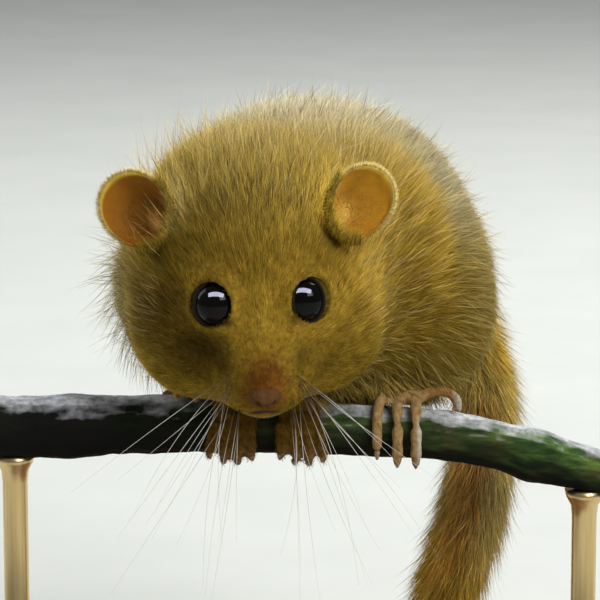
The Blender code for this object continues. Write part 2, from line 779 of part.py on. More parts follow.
TAIL_ROUTE = [
    (5.0, 31.0, 11.0), (12.5, 32.5, 10.0), (20.0, 27.5, 6.5), (22.8, 19.5, -1.0), (21.8, 13.6, -11.0),
    (18.8, 10.8, -21.0), (15.4, 10.6, -32.0),
]
TAIL_PARTS = ("tail_root", "tail_middle", "tail_tip")
TAIL_CORE = 0.48  # of the coat's outer radius
TAIL_STEP = 1.0 * MM  # between the points of its centre line
LOCK_ROWS = 4  # in each part
LOCKS_AROUND = 5
LOCK_LENGTH = 11.5 * MM
LOCK_WIDTH = 3.9 * MM
LOCK_THICKNESS = 0.62 * MM
LOCK_SHAPE = (0.6, 1.0, 0.82, 0.10)  # its width from root to tip
END_SQUARE = 0.4 * MM  # at each end of a length, laid square to the centre line


def tail_path(length):
    """Evenly spaced points down the tail's centre line, and a side vector carried along it."""
    fine = smooth_path([from_perch(*p) for p in TAIL_ROUTE], 400)
    run, end = 0.0, 1
    while run < length and end < len(fine) - 1:
        run += (fine[end] - fine[end - 1]).length
        end += 1
    points = smooth_path(fine[:end:6] + [fine[end - 1]], int(length / TAIL_STEP) + 1)
    sides = []
    side = Vector((0, 0, 1))
    for i in range(len(points)):
        along = points[min(i + 1, len(points) - 1)] - points[max(i - 1, 0)]
        along.normalize()
        side = (side - side.dot(along) * along).normalized()
        sides.append(side.copy())
    return points, sides


def tail_radius(share):
    """The coat's outer radius along the tail: full for most of it, closing at the tip."""
    root = 0.80 + 0.20 * min(1.0, share / 0.25)
    bushy = 1.0 + 0.16 * math.exp(-(((share - 0.72) / 0.22) ** 2))
    close = math.sqrt(max(0.0, 1.0 - max(0.0, (share - 0.80) / 0.22) ** 2.4))
    return TAIL_WIDTH / 2 * root * bushy * max(0.16, close)


def on_tail(path, place, angle, radius):
    """A point at a distance down the tail, out from its centre line at an angle round it."""
    points, sides = path
    at = place / TAIL_STEP
    i = max(0, min(int(at), len(points) - 2))
    along = (points[i + 1] - points[i]).normalized()
    centre = points[i] + along * (at - i) * TAIL_STEP
    side = sides[i].lerp(sides[i + 1], min(1.0, max(0.0, at - i)))
    side = (side - side.dot(along) * along).normalized()
    out = math.cos(angle) * side + math.sin(angle) * along.cross(side)
    return centre + out * radius, out, along


def lock_mesh(path, root, angle, varied, grow=0.0):
    """A flat, tapered lock that leaves the core and leans out and down the tail to its tip."""
    length = LOCK_LENGTH * (1.0 + 0.07 * varied[0])
    curl = 0.16 * varied[1]
    reach = 0.98 + 0.05 * varied[2]
    spine, widths = [], []
    for k, width in enumerate(LOCK_SHAPE):
        share = k / (len(LOCK_SHAPE) - 1)
        place = root + length * share
        outer = tail_radius(min(1.0, place / TAIL_LENGTH)) * reach
        inner = TAIL_CORE * tail_radius(min(1.0, root / TAIL_LENGTH)) * 0.62
        radius = inner + (outer - inner) * share**0.85
        spine.append(on_tail(path, place, angle + curl * share**2, radius)[0])
        widths.append(LOCK_WIDTH / 2 * width + grow)
    _, out, along = on_tail(path, root + length / 2, angle + curl / 4, 0.0)
    flat = (LOCK_THICKNESS / 2 + grow) / (LOCK_WIDTH / 2 + grow)
    return tube("lock", spine, widths, 4, flat=flat, across=along.cross(out))


def make_tail():
    """Three lengths, each a core with rows of overlapping locks that lie towards the tip.

    The last rows of one length lie over the start of the next, which is cut clear of them.
    """
    path = tail_path(TAIL_LENGTH)
    draw = np.random.default_rng(21)
    core_end = TAIL_LENGTH - LOCK_LENGTH * 0.6
    part_length = core_end / len(TAIL_PARTS)
    parts, overhang = [], []
    for i, name in enumerate(TAIL_PARTS):
        start, end = i * part_length + (GAP if i else 0.0), (i + 1) * part_length
        places = [start, *np.linspace(start + END_SQUARE, end - END_SQUARE, 6), end]
        centres = [on_tail(path, place, 0.0, 0.0)[0] for place in places]
        radii = [TAIL_CORE * tail_radius(place / TAIL_LENGTH) for place in places]
        if i == len(TAIL_PARTS) - 1:
            radii[-1] *= 0.5
        part = new_object(name, tube(name, centres, radii, 10))
        locks, last_rows = [], []
        for row in range(LOCK_ROWS):
            root = start + part_length * (row + 0.35) / LOCK_ROWS
            for k in range(LOCKS_AROUND):
                turn, *varied = draw.uniform(-1.0, 1.0, 4)
                angle = math.tau * (k + 0.5 * (row % 2) + 0.08 * turn) / LOCKS_AROUND
                locks.append(new_object("lock", lock_mesh(path, root, angle, varied)))
                if row >= LOCK_ROWS - 2:
                    last_rows.append(lock_mesh(path, root, angle, varied, GAP))
        combine(part, locks, "UNION")
        if overhang:
            meet(part, overhang)
        overhang = [new_object("overhang", mesh) for mesh in last_rows if i < len(TAIL_PARTS) - 1]
        parts.append(meet(part, body_cutters()) if i < 2 else part)
    return parts


# The stand

BASE_CORNER = 14.0 * MM
BASE_EDGE = 1.6 * MM
ROD_PLACES = {"stand_rod_right": -34.0, "stand_rod_left": 34.0}  # along the twig, in mm


def rounded_block(name, length, depth, low, high, corner, edge):
    """A flat block with round corners and a bevelled top edge."""
    shape = bmesh.new()
    steps = 7
    for inset, z in ((0.0, low), (0.0, high - edge), (edge * 0.3, high - edge * 0.3), (edge, high)):
        for cx, cy, start in ((1, 1, 0), (-1, 1, 90), (-1, -1, 180), (1, -1, 270)):
            for k in range(steps):
                angle = math.radians(start + 90.0 * k / (steps - 1))
                reach = corner - inset
                x = cx * (length / 2 - corner) + reach * math.cos(angle)
                y = cy * (depth / 2 - corner) + reach * math.sin(angle)
                shape.verts.new((x, y, z))
    shape.verts.ensure_lookup_table()
    ring = 4 * steps
    for level in range(3):
        for k in range(ring):
            a, b = level * ring + k, level * ring + (k + 1) % ring
            shape.faces.new([shape.verts[i] for i in (a, b, b + ring, a + ring)])
    shape.faces.new([shape.verts[i] for i in range(ring)])
    shape.faces.new([shape.verts[i] for i in range(3 * ring, 4 * ring)])
    bmesh.ops.recalc_face_normals(shape, faces=shape.faces)
    mesh = bpy.data.meshes.new(name)
    shape.to_mesh(mesh)
    shape.free()
    return mesh


def make_stand():
    """The base, and two rods from it up to the twig's underside."""
    base = rounded_block(
        "stand_base", BASE_LENGTH, BASE_DEPTH, 0.0, BASE_THICKNESS, BASE_CORNER, BASE_EDGE
    )
    new_object("stand_base", base, "wood")
    for name, place in ROD_PLACES.items():
        top = twig_centre(place)
        foot = Vector((top.x, top.y, BASE_THICKNESS + GAP))
        rod = new_object(name, tube(name, [foot, (foot + top) / 2, top], [ROD_DIAMETER / 2] * 3, 20))
        combine(rod, [perch_cutter()], "DIFFERENCE")
        finish(rod, "brass")


def main():
    for old in list(bpy.data.objects):
        bpy.data.objects.remove(old)
    make_perch()
    make_stand()
    head = make_head()
    make_eyes()
    neck = make_neck()
    torso, haunches = make_trunk()
    meet(neck, foreleg_sleeves())
    for part in (head, neck, torso, *haunches):
        finish(meet(part, [perch_cutter()]), "coat")
    for part in make_tail():
        finish(part, "coat")
    for side, name in ((1, "ear_left"), (-1, "ear_right")):
        finish(make_ear(side, name), "skin")
    for name, (x, lean) in FORELEGS.items():
        finish(make_foreleg("foreleg_" + name, x, lean), "coat")
        finish(make_forepaw("forepaw_" + name, x, lean), "skin")
    for name, (x, side, turn_back) in HIND_FEET.items():
        finish(make_hind_foot("hind_foot_" + name, x, side, turn_back), "skin")


main()
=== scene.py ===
import math

import bmesh
import bpy
import numpy as np
from mathutils import Matrix, Vector, noise
from mathutils.bvhtree import BVHTree


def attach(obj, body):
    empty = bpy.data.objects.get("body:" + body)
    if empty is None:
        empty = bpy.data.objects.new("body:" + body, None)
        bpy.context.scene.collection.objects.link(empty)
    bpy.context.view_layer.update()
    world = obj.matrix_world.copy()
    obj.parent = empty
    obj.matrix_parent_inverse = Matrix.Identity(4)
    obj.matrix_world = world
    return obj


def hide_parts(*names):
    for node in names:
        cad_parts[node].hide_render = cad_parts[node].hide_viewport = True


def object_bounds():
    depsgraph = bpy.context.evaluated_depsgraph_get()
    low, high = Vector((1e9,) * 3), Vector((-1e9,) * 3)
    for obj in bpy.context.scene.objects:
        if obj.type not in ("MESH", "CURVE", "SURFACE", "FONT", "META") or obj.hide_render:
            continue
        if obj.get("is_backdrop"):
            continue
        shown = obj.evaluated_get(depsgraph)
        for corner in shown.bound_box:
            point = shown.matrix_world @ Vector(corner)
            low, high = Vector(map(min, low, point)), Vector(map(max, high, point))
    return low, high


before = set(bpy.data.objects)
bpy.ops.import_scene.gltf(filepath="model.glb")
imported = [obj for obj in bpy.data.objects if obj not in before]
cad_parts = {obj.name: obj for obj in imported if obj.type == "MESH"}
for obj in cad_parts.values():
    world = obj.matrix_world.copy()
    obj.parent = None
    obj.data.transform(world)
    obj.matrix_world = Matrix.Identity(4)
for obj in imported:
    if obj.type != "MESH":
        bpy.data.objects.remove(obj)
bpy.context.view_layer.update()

MM = 0.001

# The view, the floor and the light
# A long lens a little above the animal, as the photograph was taken, over a plain pale floor.
# Large soft lamps: one high behind on the right that lights the rims of the coat and ears, one in front
# on the right, a weak one on the left, and one like a window that only shows in the eyes.

LENS = 228.6
SENSOR = 36.0
CAMERA_PLACE = (0.0, -0.44617, 0.15702)
LOOK_DOWN = math.radians(12.0)
ANIMAL = Vector((0.0, 0.0, 0.065))
LAMPS = {  # each lamp's place, width, height, power and colour
    "lamp_behind": ((0.24, 0.34, 0.52), 0.36, 0.36, 3.7, (1.0, 0.99, 0.96)),
    "lamp_right": ((0.28, -0.40, 0.46), 0.30, 0.30, 2.5, (1.0, 0.98, 0.94)),
    "lamp_left": ((-0.44, 0.26, 0.34), 0.40, 0.40, 1.2, (0.95, 0.97, 1.0)),
    "lamp_window": ((-0.02, -0.26, 0.46), 0.66, 0.20, 22.0, (0.80, 0.80, 1.0)),
}
ROOM_COLOUR = (0.80, 0.82, 0.82, 1.0)
ROOM_LIGHT = 0.27
FLOOR_HALF = 4.0

lens = bpy.data.cameras.new("camera")
lens.lens = LENS
lens.sensor_width = SENSOR
lens.clip_start = 0.01
camera = bpy.data.objects.new("camera", lens)
camera.location = CAMERA_PLACE
camera.rotation_euler = (math.pi / 2 - LOOK_DOWN, 0.0, 0.0)
bpy.context.scene.collection.objects.link(camera)
bpy.context.scene.camera = camera
bpy.context.scene.view_settings.view_transform = "Standard"

for name, (place, width, height, power, colour) in LAMPS.items():
    light = bpy.data.lights.new(name, "AREA")
    light.shape = "RECTANGLE"
    light.size = width
    light.size_y = height
    light.energy = power
    light.color = colour
    lamp = bpy.data.objects.new(name, light)
    lamp.location = place
    lamp.rotation_euler = (ANIMAL - Vector(place)).to_track_quat("-Z", "Y").to_euler()
    bpy.context.scene.collection.objects.link(lamp)
window = bpy.data.objects["lamp_window"]
window.visible_diffuse = False
window.light_linking.receiver_collection = bpy.data.collections.new("window_is_seen_in")

world = bpy.data.worlds.new("studio")
bpy.context.scene.world = world
world.use_nodes = True
world.node_tree.nodes["Background"].inputs["Color"].default_value = ROOM_COLOUR
world.node_tree.nodes["Background"].inputs["Strength"].default_value = ROOM_LIGHT


class Finish:
    """A material with short calls for its nodes."""

    def __init__(self, name, roughness, **fixed):
        self.material = bpy.data.materials.new(name)
        self.material.use_nodes = True
        self.nodes = self.material.node_tree.nodes
        self.links = self.material.node_tree.links
        self.shader = self.nodes["Principled BSDF"]
        self.shader.inputs["Roughness"].default_value = roughness
        for socket, value in fixed.items():
            self.shader.inputs[socket.replace("_", " ")].default_value = value

    def put(self, socket, value):
        if hasattr(value, "is_linked"):
            self.links.new(value, socket)
        else:
            socket.default_value = value

    def node(self, kind, settings=None, **inputs):
        made = self.nodes.new("ShaderNode" + kind)
        for key, value in (settings or {}).items():
            setattr(made, key, value)
        for key, value in inputs.items():
            self.put(made.inputs[key.replace("_", " ")], value)
        return made

    def painted(self):
        """The colours that are stored on the mesh as Markings."""
        return self.node("VertexColor", {"layer_name": "Markings"}).outputs["Color"]

    def place(self, scale=(1.0, 1.0, 1.0)):
        """Object coordinates, scaled."""
        where = self.node("TexCoord").outputs["Object"]
        return self.node("Mapping", None, Vector=where, Scale=scale).outputs["Vector"]

    def speckle(self, scale, detail=3.0, rough=0.55, stretch=(1.0, 1.0, 1.0)):
        sizes = {"Scale": scale, "Detail": detail, "Roughness": rough}
        return self.node("TexNoise", None, Vector=self.place(stretch), **sizes).outputs["Fac"]

    def shades(self, fac, *stops):
        """A colour ramp of (place, colour) stops, where a single number is a grey."""
        made = self.nodes.new("ShaderNodeValToRGB")
        marks = made.color_ramp.elements
        while len(marks) < len(stops):
            marks.new(0.5)
        for mark, (at, colour) in zip(marks, stops):
            mark.position = at
            mark.color = (*colour, 1.0) if isinstance(colour, tuple) else (colour, colour, colour, 1.0)
        self.links.new(fac, made.inputs["Fac"])
        return made.outputs["Color"]

    def mixed(self, fac, a, b, blend="MIX"):
        made = self.nodes.new("ShaderNodeMix")
        made.data_type = "RGBA"
        made.blend_type = blend
        made.clamp_factor = True
        for index, value in ((0, fac), (6, a), (7, b)):
            if isinstance(value, tuple):
                value = (*value, 1.0)
            self.put(made.inputs[index], value)
        return made.outputs[2]

    def times(self, a, b):
        return self.mixed(1.0, a, b, "MULTIPLY")

    def spread(self, value, low, high, to_low=0.0, to_high=1.0):
        """A value moved from one span of numbers to another."""
        made = self.nodes.new("ShaderNodeMapRange")
        sockets = ("Value", "From Min", "From Max", "To Min", "To Max")
        for socket, number in zip(sockets, (value, low, high, to_low, to_high)):
            self.put(made.inputs[socket], number)
        return made.outputs["Result"]

    def colour(self, socket):
        self.links.new(socket, self.shader.inputs["Base Color"])

    def bumps(self, height, strength, distance):
        made = self.node("Bump", None, Height=height, Strength=strength, Distance=distance)
        self.links.new(made.outputs["Normal"], self.shader.inputs["Normal"])


floor_mesh = bpy.data.meshes.new("floor")
floor_corners = [(FLOOR_HALF * x, FLOOR_HALF * y, 0) for x, y in ((-1, -1), (1, -1), (1, 1), (-1, 1))]
floor_mesh.from_pydata(floor_corners, [], [(0, 1, 2, 3)])
floor = bpy.data.objects.new("floor", floor_mesh)
bpy.context.scene.collection.objects.link(floor)
paper = Finish("pale_paper", 0.9, Specular_IOR_Level=0.0)
paper.colour(paper.shades(paper.speckle(40.0), (0.3, (0.60, 0.62, 0.60)), (0.7, (0.63, 0.65, 0.63))))
floor_mesh.materials.append(paper.material)
floor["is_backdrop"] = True


def piece(name, points, faces, finish, slot):
    """A smooth mesh in millimetres as a shown piece with its finish, riding on the model."""
    mesh = bpy.data.meshes.new(name)
    if isinstance(faces, np.ndarray):
        mesh.vertices.add(len(points))
        mesh.vertices.foreach_set("co", (np.asarray(points) * MM).astype(np.float32).ravel())
        mesh.loops.add(faces.size)
        mesh.loops.foreach_set("vertex_index", faces.astype(np.int32).ravel())
        mesh.polygons.add(len(faces))
        starts = np.arange(0, faces.size, faces.shape[1], dtype=np.int32)
        mesh.polygons.foreach_set("loop_start", starts)
        mesh.update(calc_edges=True)
    else:
        mesh.from_pydata([Vector(p) * MM for p in points], [], faces)
    mesh.polygons.foreach_set("use_smooth", [True] * len(mesh.polygons))
    mesh.materials.append(finish.material)
    made = bpy.data.objects.new(name, mesh)
    bpy.context.scene.collection.objects.link(made)
    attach(made, "root")
    return made


# The base
# A flat board of satin wood with round corners and a softened top edge, as the museum's joiner makes it.
# It stands on the floor and carries the two rods.

BASE = (96.0, 80.0, 7.0)
BASE_CORNER = 14.0
BASE_EDGE = 1.6
BASE_FOOT = 0.5
CORNER_STEPS = 14

wood = Finish("satin_wood", 0.38, Coat_Weight=0.25, Coat_Roughness=0.25)
grain = wood.speckle(90.0, 6.0, 0.6, (0.12, 1.0, 1.0))
year_rings = wood.speckle(14.0, 2.0, 0.5, (0.35, 1.0, 0.3))
wood.colour(wood.mixed(
    wood.spread(year_rings, 0.35, 0.65),
    wood.shades(grain, (0.30, (0.125, 0.060, 0.026)), (0.72, (0.230, 0.125, 0.060))),
    wood.shades(grain, (0.30, (0.165, 0.085, 0.038)), (0.72, (0.290, 0.165, 0.082))),
))
wood.bumps(grain, 0.15, 0.0002)


def band(low, high, around):
    """Quads between the ring of points that starts at low and the ring that starts at high."""
    steps = [(k, (k + 1) % around) for k in range(around)]
    return [(low + b, high + b, high + a, low + a) for a, b in steps]


def bands(rows, around, first=0):
    """Quads between rings that follow one another from the point numbered first."""
    starts = range(first, first + (rows - 1) * around, around)
    return [face for low in starts for face in band(low, low + around, around)]


def capped(rows, around):
    """The faces of a closed body of rings: its side and its two ends."""
    last = (rows - 1) * around
    return bands(rows, around) + [tuple(reversed(range(around))), tuple(range(last, last + around))]


outline = []
for quarter in range(4):
    corner_x = (BASE[0] / 2 - BASE_CORNER) * (1 if quarter in (0, 3) else -1)
    corner_y = (BASE[1] / 2 - BASE_CORNER) * (1 if quarter in (0, 1) else -1)
    for step in range(CORNER_STEPS + 1):
        angle = math.pi / 2 * (quarter + step / CORNER_STEPS)
        outline.append((corner_x, corner_y, math.cos(angle), math.sin(angle)))
levels = [(BASE_FOOT, 0.0), (0.0, BASE_FOOT)]
for angle in np.linspace(0, math.pi / 2, 7):
    levels.append((BASE_EDGE * (1 - math.cos(angle)), BASE[2] - BASE_EDGE * (1 - math.sin(angle))))
board = [
    (x + (BASE_CORNER - inset) * c, y + (BASE_CORNER - inset) * s, z)
    for inset, z in levels for x, y, c, s in outline
]
base = piece("stand_board", board, capped(len(levels), len(outline)), wood, "wood")
for end in list(base.data.polygons)[-2:]:
    end.use_smooth = False
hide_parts("stand_base")

# The twig
# A short cut length of a live branch that the animal grips: thin bark with long shallow cracks, pale
# lichen in patches and a painted highlight along its top, painted shade on its underside, two swellings
# where buds sat, and both ends sawn.

PERCH = np.array((0.0, -6.0, 48.0))
TWIG_ROUTE = np.array((
    (-39, 0.6, 0.2), (-32, 0, 0), (-15, -0.3, 0.5), (0, 0, 0), (18, 0, -1.2), (32, 0.2, -4.6),
    (39, 0.4, -6.8),
))
TWIG_HALF = 39.0
TWIG_RADIUS = 3.1
TWIG_TAPER = (1.22, 0.86)
KNOTS = ((-27.0, 0.10), (28.0, 0.16))
KNOT_LENGTH = 2.2
TWIG_RINGS = 240
TWIG_SIDES = 64


def unit(vectors):
    vectors = np.asarray(vectors, float)
    return vectors / np.maximum(np.linalg.norm(vectors, axis=-1, keepdims=True), 1e-9)


def ramp(low, high, value):
    """0 at low and 1 at high, eased between; low may be the greater of the two."""
    share = np.clip((np.asarray(value, float) - low) / (high - low), 0.0, 1.0)
    return share * share * (3.0 - 2.0 * share)


def lengths_along(path):
    """How far along a path each of its points is."""
    return np.concatenate(([0.0], np.cumsum(np.linalg.norm(np.diff(path, axis=0), axis=1))))


def smooth_path(points, count):
    """Evenly spaced points on a smooth curve through the given ones."""
    points = np.asarray(points, float)
    ends = np.vstack((2 * points[0] - points[1], points, 2 * points[-1] - points[-2]))
    fine = []
    for a, b, c, d in zip(ends, ends[1:], ends[2:], ends[3:]):
        for t in np.arange(24) / 24:
            square = (2 * a - 5 * b + 4 * c - d) * t**2
            cube = (3 * b - a - 3 * c + d) * t**3
            fine.append(0.5 * (2 * b + (c - a) * t + square + cube))
    fine = np.vstack((fine, points[-1:]))
    run = lengths_along(fine)
    wanted = np.linspace(0.0, run[-1], count)
    return np.column_stack([np.interp(wanted, run, fine[:, k]) for k in range(3)])


def pipe(path, radii, sides, first=(0.0, 0.0, 1.0)):
    """Points and faces of a round tube along a path, with closed ends and no twist."""
    along = unit(np.gradient(path, axis=0))
    side = np.array(first, float)
    ways = []
    for direction in along:
        side = unit(side - side.dot(direction) * direction)
        ways.append(side)
    ways = np.array(ways)
    across = np.cross(along, ways)
    angles = np.arange(sides) / sides * math.tau
    ring = np.cos(angles)[None, :, None] * ways[:, None] + np.sin(angles)[None, :, None] * across[:, None]
    points = path[:, None] + ring * np.asarray(radii, float).reshape(len(path), -1, 1)
    return points.reshape(-1, 3), capped(len(path), sides)


def twig_radius(x):
    share = (np.asarray(x, float) + TWIG_HALF) / (2 * TWIG_HALF)
    swell = sum(size * np.exp(-(((x - at) / KNOT_LENGTH) ** 2)) for at, size in KNOTS)
    return TWIG_RADIUS * (TWIG_TAPER[0] + (TWIG_TAPER[1] - TWIG_TAPER[0]) * share) * (1 + swell)


def twig_centre(x):
    off = [np.interp(x, TWIG_ROUTE[:, 0], TWIG_ROUTE[:, k]) for k in (1, 2)]
    return PERCH + np.array((x, *off))


def round_twig(x, angle, clear):
    """A point round the twig: 0 degrees is its top and 90 its front, clear of the bark by clear."""
    out = twig_radius(x) + clear
    angle = math.radians(angle)
    return twig_centre(x) + np.array((0.0, -math.sin(angle) * out, math.cos(angle) * out))


bark = Finish("bark_with_lichen_and_painted_light", 0.78, Specular_IOR_Level=0.2)
up = bark.node("SeparateXYZ", None, Vector=bark.node("NewGeometry").outputs["Normal"]).outputs["Z"]
crack = bark.speckle(700.0, 5.0, 0.65, (0.22, 1.0, 1.0))
patches = bark.speckle(210.0, 4.0, 0.6)
fine = bark.speckle(1500.0, 3.0, 0.6)
green_bark = bark.shades(
    crack, (0.32, (0.006, 0.009, 0.004)), (0.50, (0.022, 0.032, 0.012)), (0.72, (0.075, 0.090, 0.038)),
)
warm_bark = bark.shades(crack, (0.32, (0.018, 0.014, 0.007)), (0.70, (0.085, 0.062, 0.030)))
lichen_and_highlight = bark.shades(fine, (0.30, (0.38, 0.40, 0.42)), (0.70, (0.86, 0.87, 0.97)))
lit_bark = bark.mixed(bark.spread(patches, 0.45, 0.62), green_bark, warm_bark)
along_twig = bark.node("SeparateXYZ", None, Vector=bark.place()).outputs["X"]
end_tone = bark.shades(
    bark.spread(along_twig, -0.025, 0.035), (0.0, (0.12, 0.13, 0.10)), (1.0, (2.0, 3.0, 1.4)),
)
lit_bark = bark.times(lit_bark, end_tone)
# painted shade: the bark darkened on its underside, away from the lamps above
painted_underside_shade = bark.shades(bark.spread(up, -0.6, 0.7), (0.0, 0.03), (0.45, 0.30), (1.0, 1.1))
bark_with_painted_shade = bark.times(lit_bark, painted_underside_shade)
# the pale colour along the top is partly lichen in patches and partly a painted highlight where light from
# above falls
on_top = bark.node("Math", {"operation": "ADD"})
bark.links.new(bark.spread(up, 0.30, 1.0), on_top.inputs[0])
bark.links.new(bark.spread(patches, 0.30, 0.70, -0.42, 0.22), on_top.inputs[1])
bark.colour(bark.mixed(bark.spread(on_top.outputs[0], 0.30, 1.05), bark_with_painted_shade, lichen_and_highlight))
bark.bumps(crack, 0.6, 0.0003)

axis = smooth_path(PERCH + TWIG_ROUTE, TWIG_RINGS)
rough = np.zeros((TWIG_RINGS, TWIG_SIDES))
for i, centre in enumerate(axis):
    for k in range(TWIG_SIDES):
        c, s = math.cos(math.tau * k / TWIG_SIDES), math.sin(math.tau * k / TWIG_SIDES)
        ridge = noise.fractal(Vector((centre[0] * 0.10, c * 1.6, s * 1.6)) * 2.2, 1.0, 2.1, 4) * 0.16
        crackle = abs(noise.noise(Vector((centre[0] * 0.35, c * 4.5, s * 4.5)))) * 0.20
        rough[i, k] = ridge + crackle - 0.10
sawn = 1 - 0.06 * (np.abs(axis[:, 0]) > TWIG_HALF - 0.3)
radii = (twig_radius(axis[:, 0])[:, None] + rough) * sawn[:, None]
twig = piece("twig_bark", *pipe(axis, radii.ravel(), TWIG_SIDES), bark, "bark")
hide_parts("perch")

# The rods
# Two satin brass rods, turned on a lathe, each with a foot that is let into the board and a small cup
# that carries the twig.

ROD_RADIUS = 1.5
ROD_SIDES = 40
RODS = {"stand_rod_right": -34.0, "stand_rod_left": 34.0}
FOOT_PROFILE = ((0.0, 3.4), (0.5, 3.4), (0.9, 3.0), (1.1, 2.2), (1.6, ROD_RADIUS))
CUP_PROFILE = (
    (-3.0, ROD_RADIUS), (-1.6, ROD_RADIUS + 0.15), (-0.6, ROD_RADIUS + 0.7), (0.3, ROD_RADIUS + 0.9),
)

brass = Finish("satin_brass", 0.28, Metallic=1.0)
brushed = brass.speckle(2500.0, 2.0, 0.5, (1.0, 1.0, 0.04))
brass.colour(brass.shades(brushed, (0.3, (0.62, 0.45, 0.20)), (0.7, (0.74, 0.56, 0.28))))
for name, place in RODS.items():
    top = twig_centre(place)
    cup = top[2] - twig_radius(place)
    profile = [(BASE[2] + z, r) for z, r in FOOT_PROFILE] + [(cup + z, r) for z, r in CUP_PROFILE]
    path = np.array([(top[0], top[1], z) for z, _ in profile])
    tube = pipe(path, [r for _, r in profile], ROD_SIDES, first=(1.0, 0.0, 0.0))
    rod = piece(name + "_turned", *tube, brass, "brass")
    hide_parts(name)

# The skin
# One hide over the head, neck, body, legs, feet and the core of the tail, with no seam. It is the flesh
# of the solids closed into one surface and drawn in by the depth of the coat that grows on it.

HEAD = PERCH + (-5.2, -8.3, 21.1)
HEAD_PITCH, HEAD_YAW, HEAD_ROLL = 38.0, 5.0, -2.5
HEAD_TURN = np.array(
    Matrix.Rotation(math.radians(HEAD_YAW), 3, "Z")
    @ Matrix.Rotation(math.radians(HEAD_PITCH), 3, "X")
    @ Matrix.Rotation(math.radians(HEAD_ROLL), 3, "Y")
)
REGIONS = ("head", "neck", "torso", "haunch", "foreleg", "forepaw", "hind_foot", "tail")
FLESH = {name: name for name in REGIONS[:3]}
FLESH.update({region + side: region for region in REGIONS[3:7] for side in ("_left", "_right")})
FINE = ("foreleg", "forepaw", "hind_foot")
PUSH = {"body": 0.2, "feet": 0.20}  # to close the gaps between the solids
VOXEL = {"body": 0.44, "feet": 0.20}
SCRAP = 250
TAIL_ROUTE = (
    (5, 31, 11), (12.5, 32.5, 10), (20, 27.5, 6.5), (22.8, 19.5, -1), (21.8, 13.6, -11), (18.8, 10.8, -21),
    (15.4, 10.6, -32),
)
TAIL_LENGTH = 66.0
TAIL_RADIUS = 4.8
TAIL_CORE = 0.42
# the toe that comes out from under the belly: places along the twig, degrees round it, clear of the bark
INNER_TOE = ((11.2, -22.0, 3.2), (10.0, 2.0, 2.0), (9.2, 38.0, 1.1), (9.1, 80.0, 1.0), (9.1, 110.0, 1.0))
TOE_RADIUS = 0.66
TOE_STEPS = 30
EYES = {  # each eye's middle, and the way the opening of its lids looks
    "left": (PERCH + (0.455, -18.857, 19.557), unit((0.26, -0.95, 0.12))),
    "right": (PERCH + (-9.424, -19.455, 19.216), unit((-0.20, -0.97, 0.10))),
}
EYE_RADIUS = 2.6


def in_head(points):
    """World points in the head's own axes: X to its left, Y to its back and Z to its crown."""
    return (np.asarray(points, float) - HEAD) @ HEAD_TURN


def from_head(x, y, z):
    return HEAD + HEAD_TURN @ np.array((x, y, z), float)


def tail_radius(share):
    """The coat's outer radius along the tail: full for most of it, closing at the tip."""
    root = 0.80 + 0.20 * np.minimum(1.0, share / 0.25)
    bushy = 1.0 + 0.16 * np.exp(-(((share - 0.72) / 0.22) ** 2))
    shut = np.sqrt(np.maximum(0.0, 1.0 - np.maximum(0.0, (share - 0.80) / 0.22) ** 2.4))
    return TAIL_RADIUS * root * bushy * np.maximum(0.16, shut)


TAIL_PATH = smooth_path(PERCH + np.array(TAIL_ROUTE, float), 300)
TAIL_PATH = TAIL_PATH[lengths_along(TAIL_PATH) <= TAIL_LENGTH]
TAIL_PATH = smooth_path(TAIL_PATH[::6], 133)

solid_points, solid_faces, solid_region = [], [], []


def add_flesh(flesh, points, faces, region, push):
    """Adds a closed mesh to the flesh, pushed out to close the gaps between the solids."""
    part = bmesh.new()
    corners = [part.verts.new(p) for p in points]
    for face in faces:
        part.faces.new([corners[i] for i in face])
    bmesh.ops.remove_doubles(part, verts=part.verts, dist=0.004)
    bmesh.ops.triangulate(part, faces=part.faces[:])
    part.normal_update()
    moved = [v.co + v.normal * push for v in part.verts]
    part.verts.index_update()
    start = len(solid_points)
    solid_points.extend(moved)
    made = [flesh.verts.new(p * MM) for p in moved]
    for face in part.faces:
        ids = [v.index for v in face.verts]
        flesh.faces.new([made[i] for i in ids])
        solid_faces.append([start + i for i in ids])
        solid_region.append(REGIONS.index(region))
    part.free()


grades = []
for grade in ("body", "feet"):
    flesh = bmesh.new()
    for name, region in FLESH.items():
        if (region in FINE) == (grade == "feet"):
            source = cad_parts[name].data
            corners = [v.co / MM for v in source.vertices]
            add_flesh(flesh, corners, [tuple(p.vertices) for p in source.polygons], region, PUSH[grade])
    if grade == "feet":
        route = smooth_path([round_twig(*spot) for spot in INNER_TOE], TOE_STEPS)
        tip = np.sqrt(np.clip((1.03 - np.linspace(0, 1, TOE_STEPS)) * 9, 0.05, 1))
        toe_points, toe_faces = pipe(route, TOE_RADIUS * tip, 20)
        add_flesh(flesh, [Vector(p) for p in toe_points], toe_faces, "hind_foot", PUSH[grade])
    else:
        share = np.linspace(0.0, 1.0, len(TAIL_PATH))
        core_points, core_faces = pipe(TAIL_PATH, tail_radius(share) * TAIL_CORE, 24)
        add_flesh(flesh, [Vector(p) for p in core_points], core_faces, "tail", 0.0)
    raw = bpy.data.meshes.new("flesh")
    flesh.to_mesh(raw)
    flesh.free()
    holder = bpy.data.objects.new("flesh", raw)
    bpy.context.scene.collection.objects.link(holder)
    remesh = holder.modifiers.new("close", "REMESH")
    remesh.mode = "VOXEL"
    remesh.voxel_size = VOXEL[grade] * MM
    grades.append(holder)
join = grades[0].modifiers.new("join", "BOOLEAN")
join.operation = "UNION"
join.solver = "MANIFOLD"
join.object = grades[1]
closed = bpy.data.meshes.new_from_object(grades[0].evaluated_get(bpy.context.evaluated_depsgraph_get()))
for holder in grades:
    bpy.data.objects.remove(holder)
shape = bmesh.new()
shape.from_mesh(closed)
bpy.data.meshes.remove(closed)
bmesh.ops.triangulate(shape, faces=shape.faces[:])
unseen = set(shape.verts)
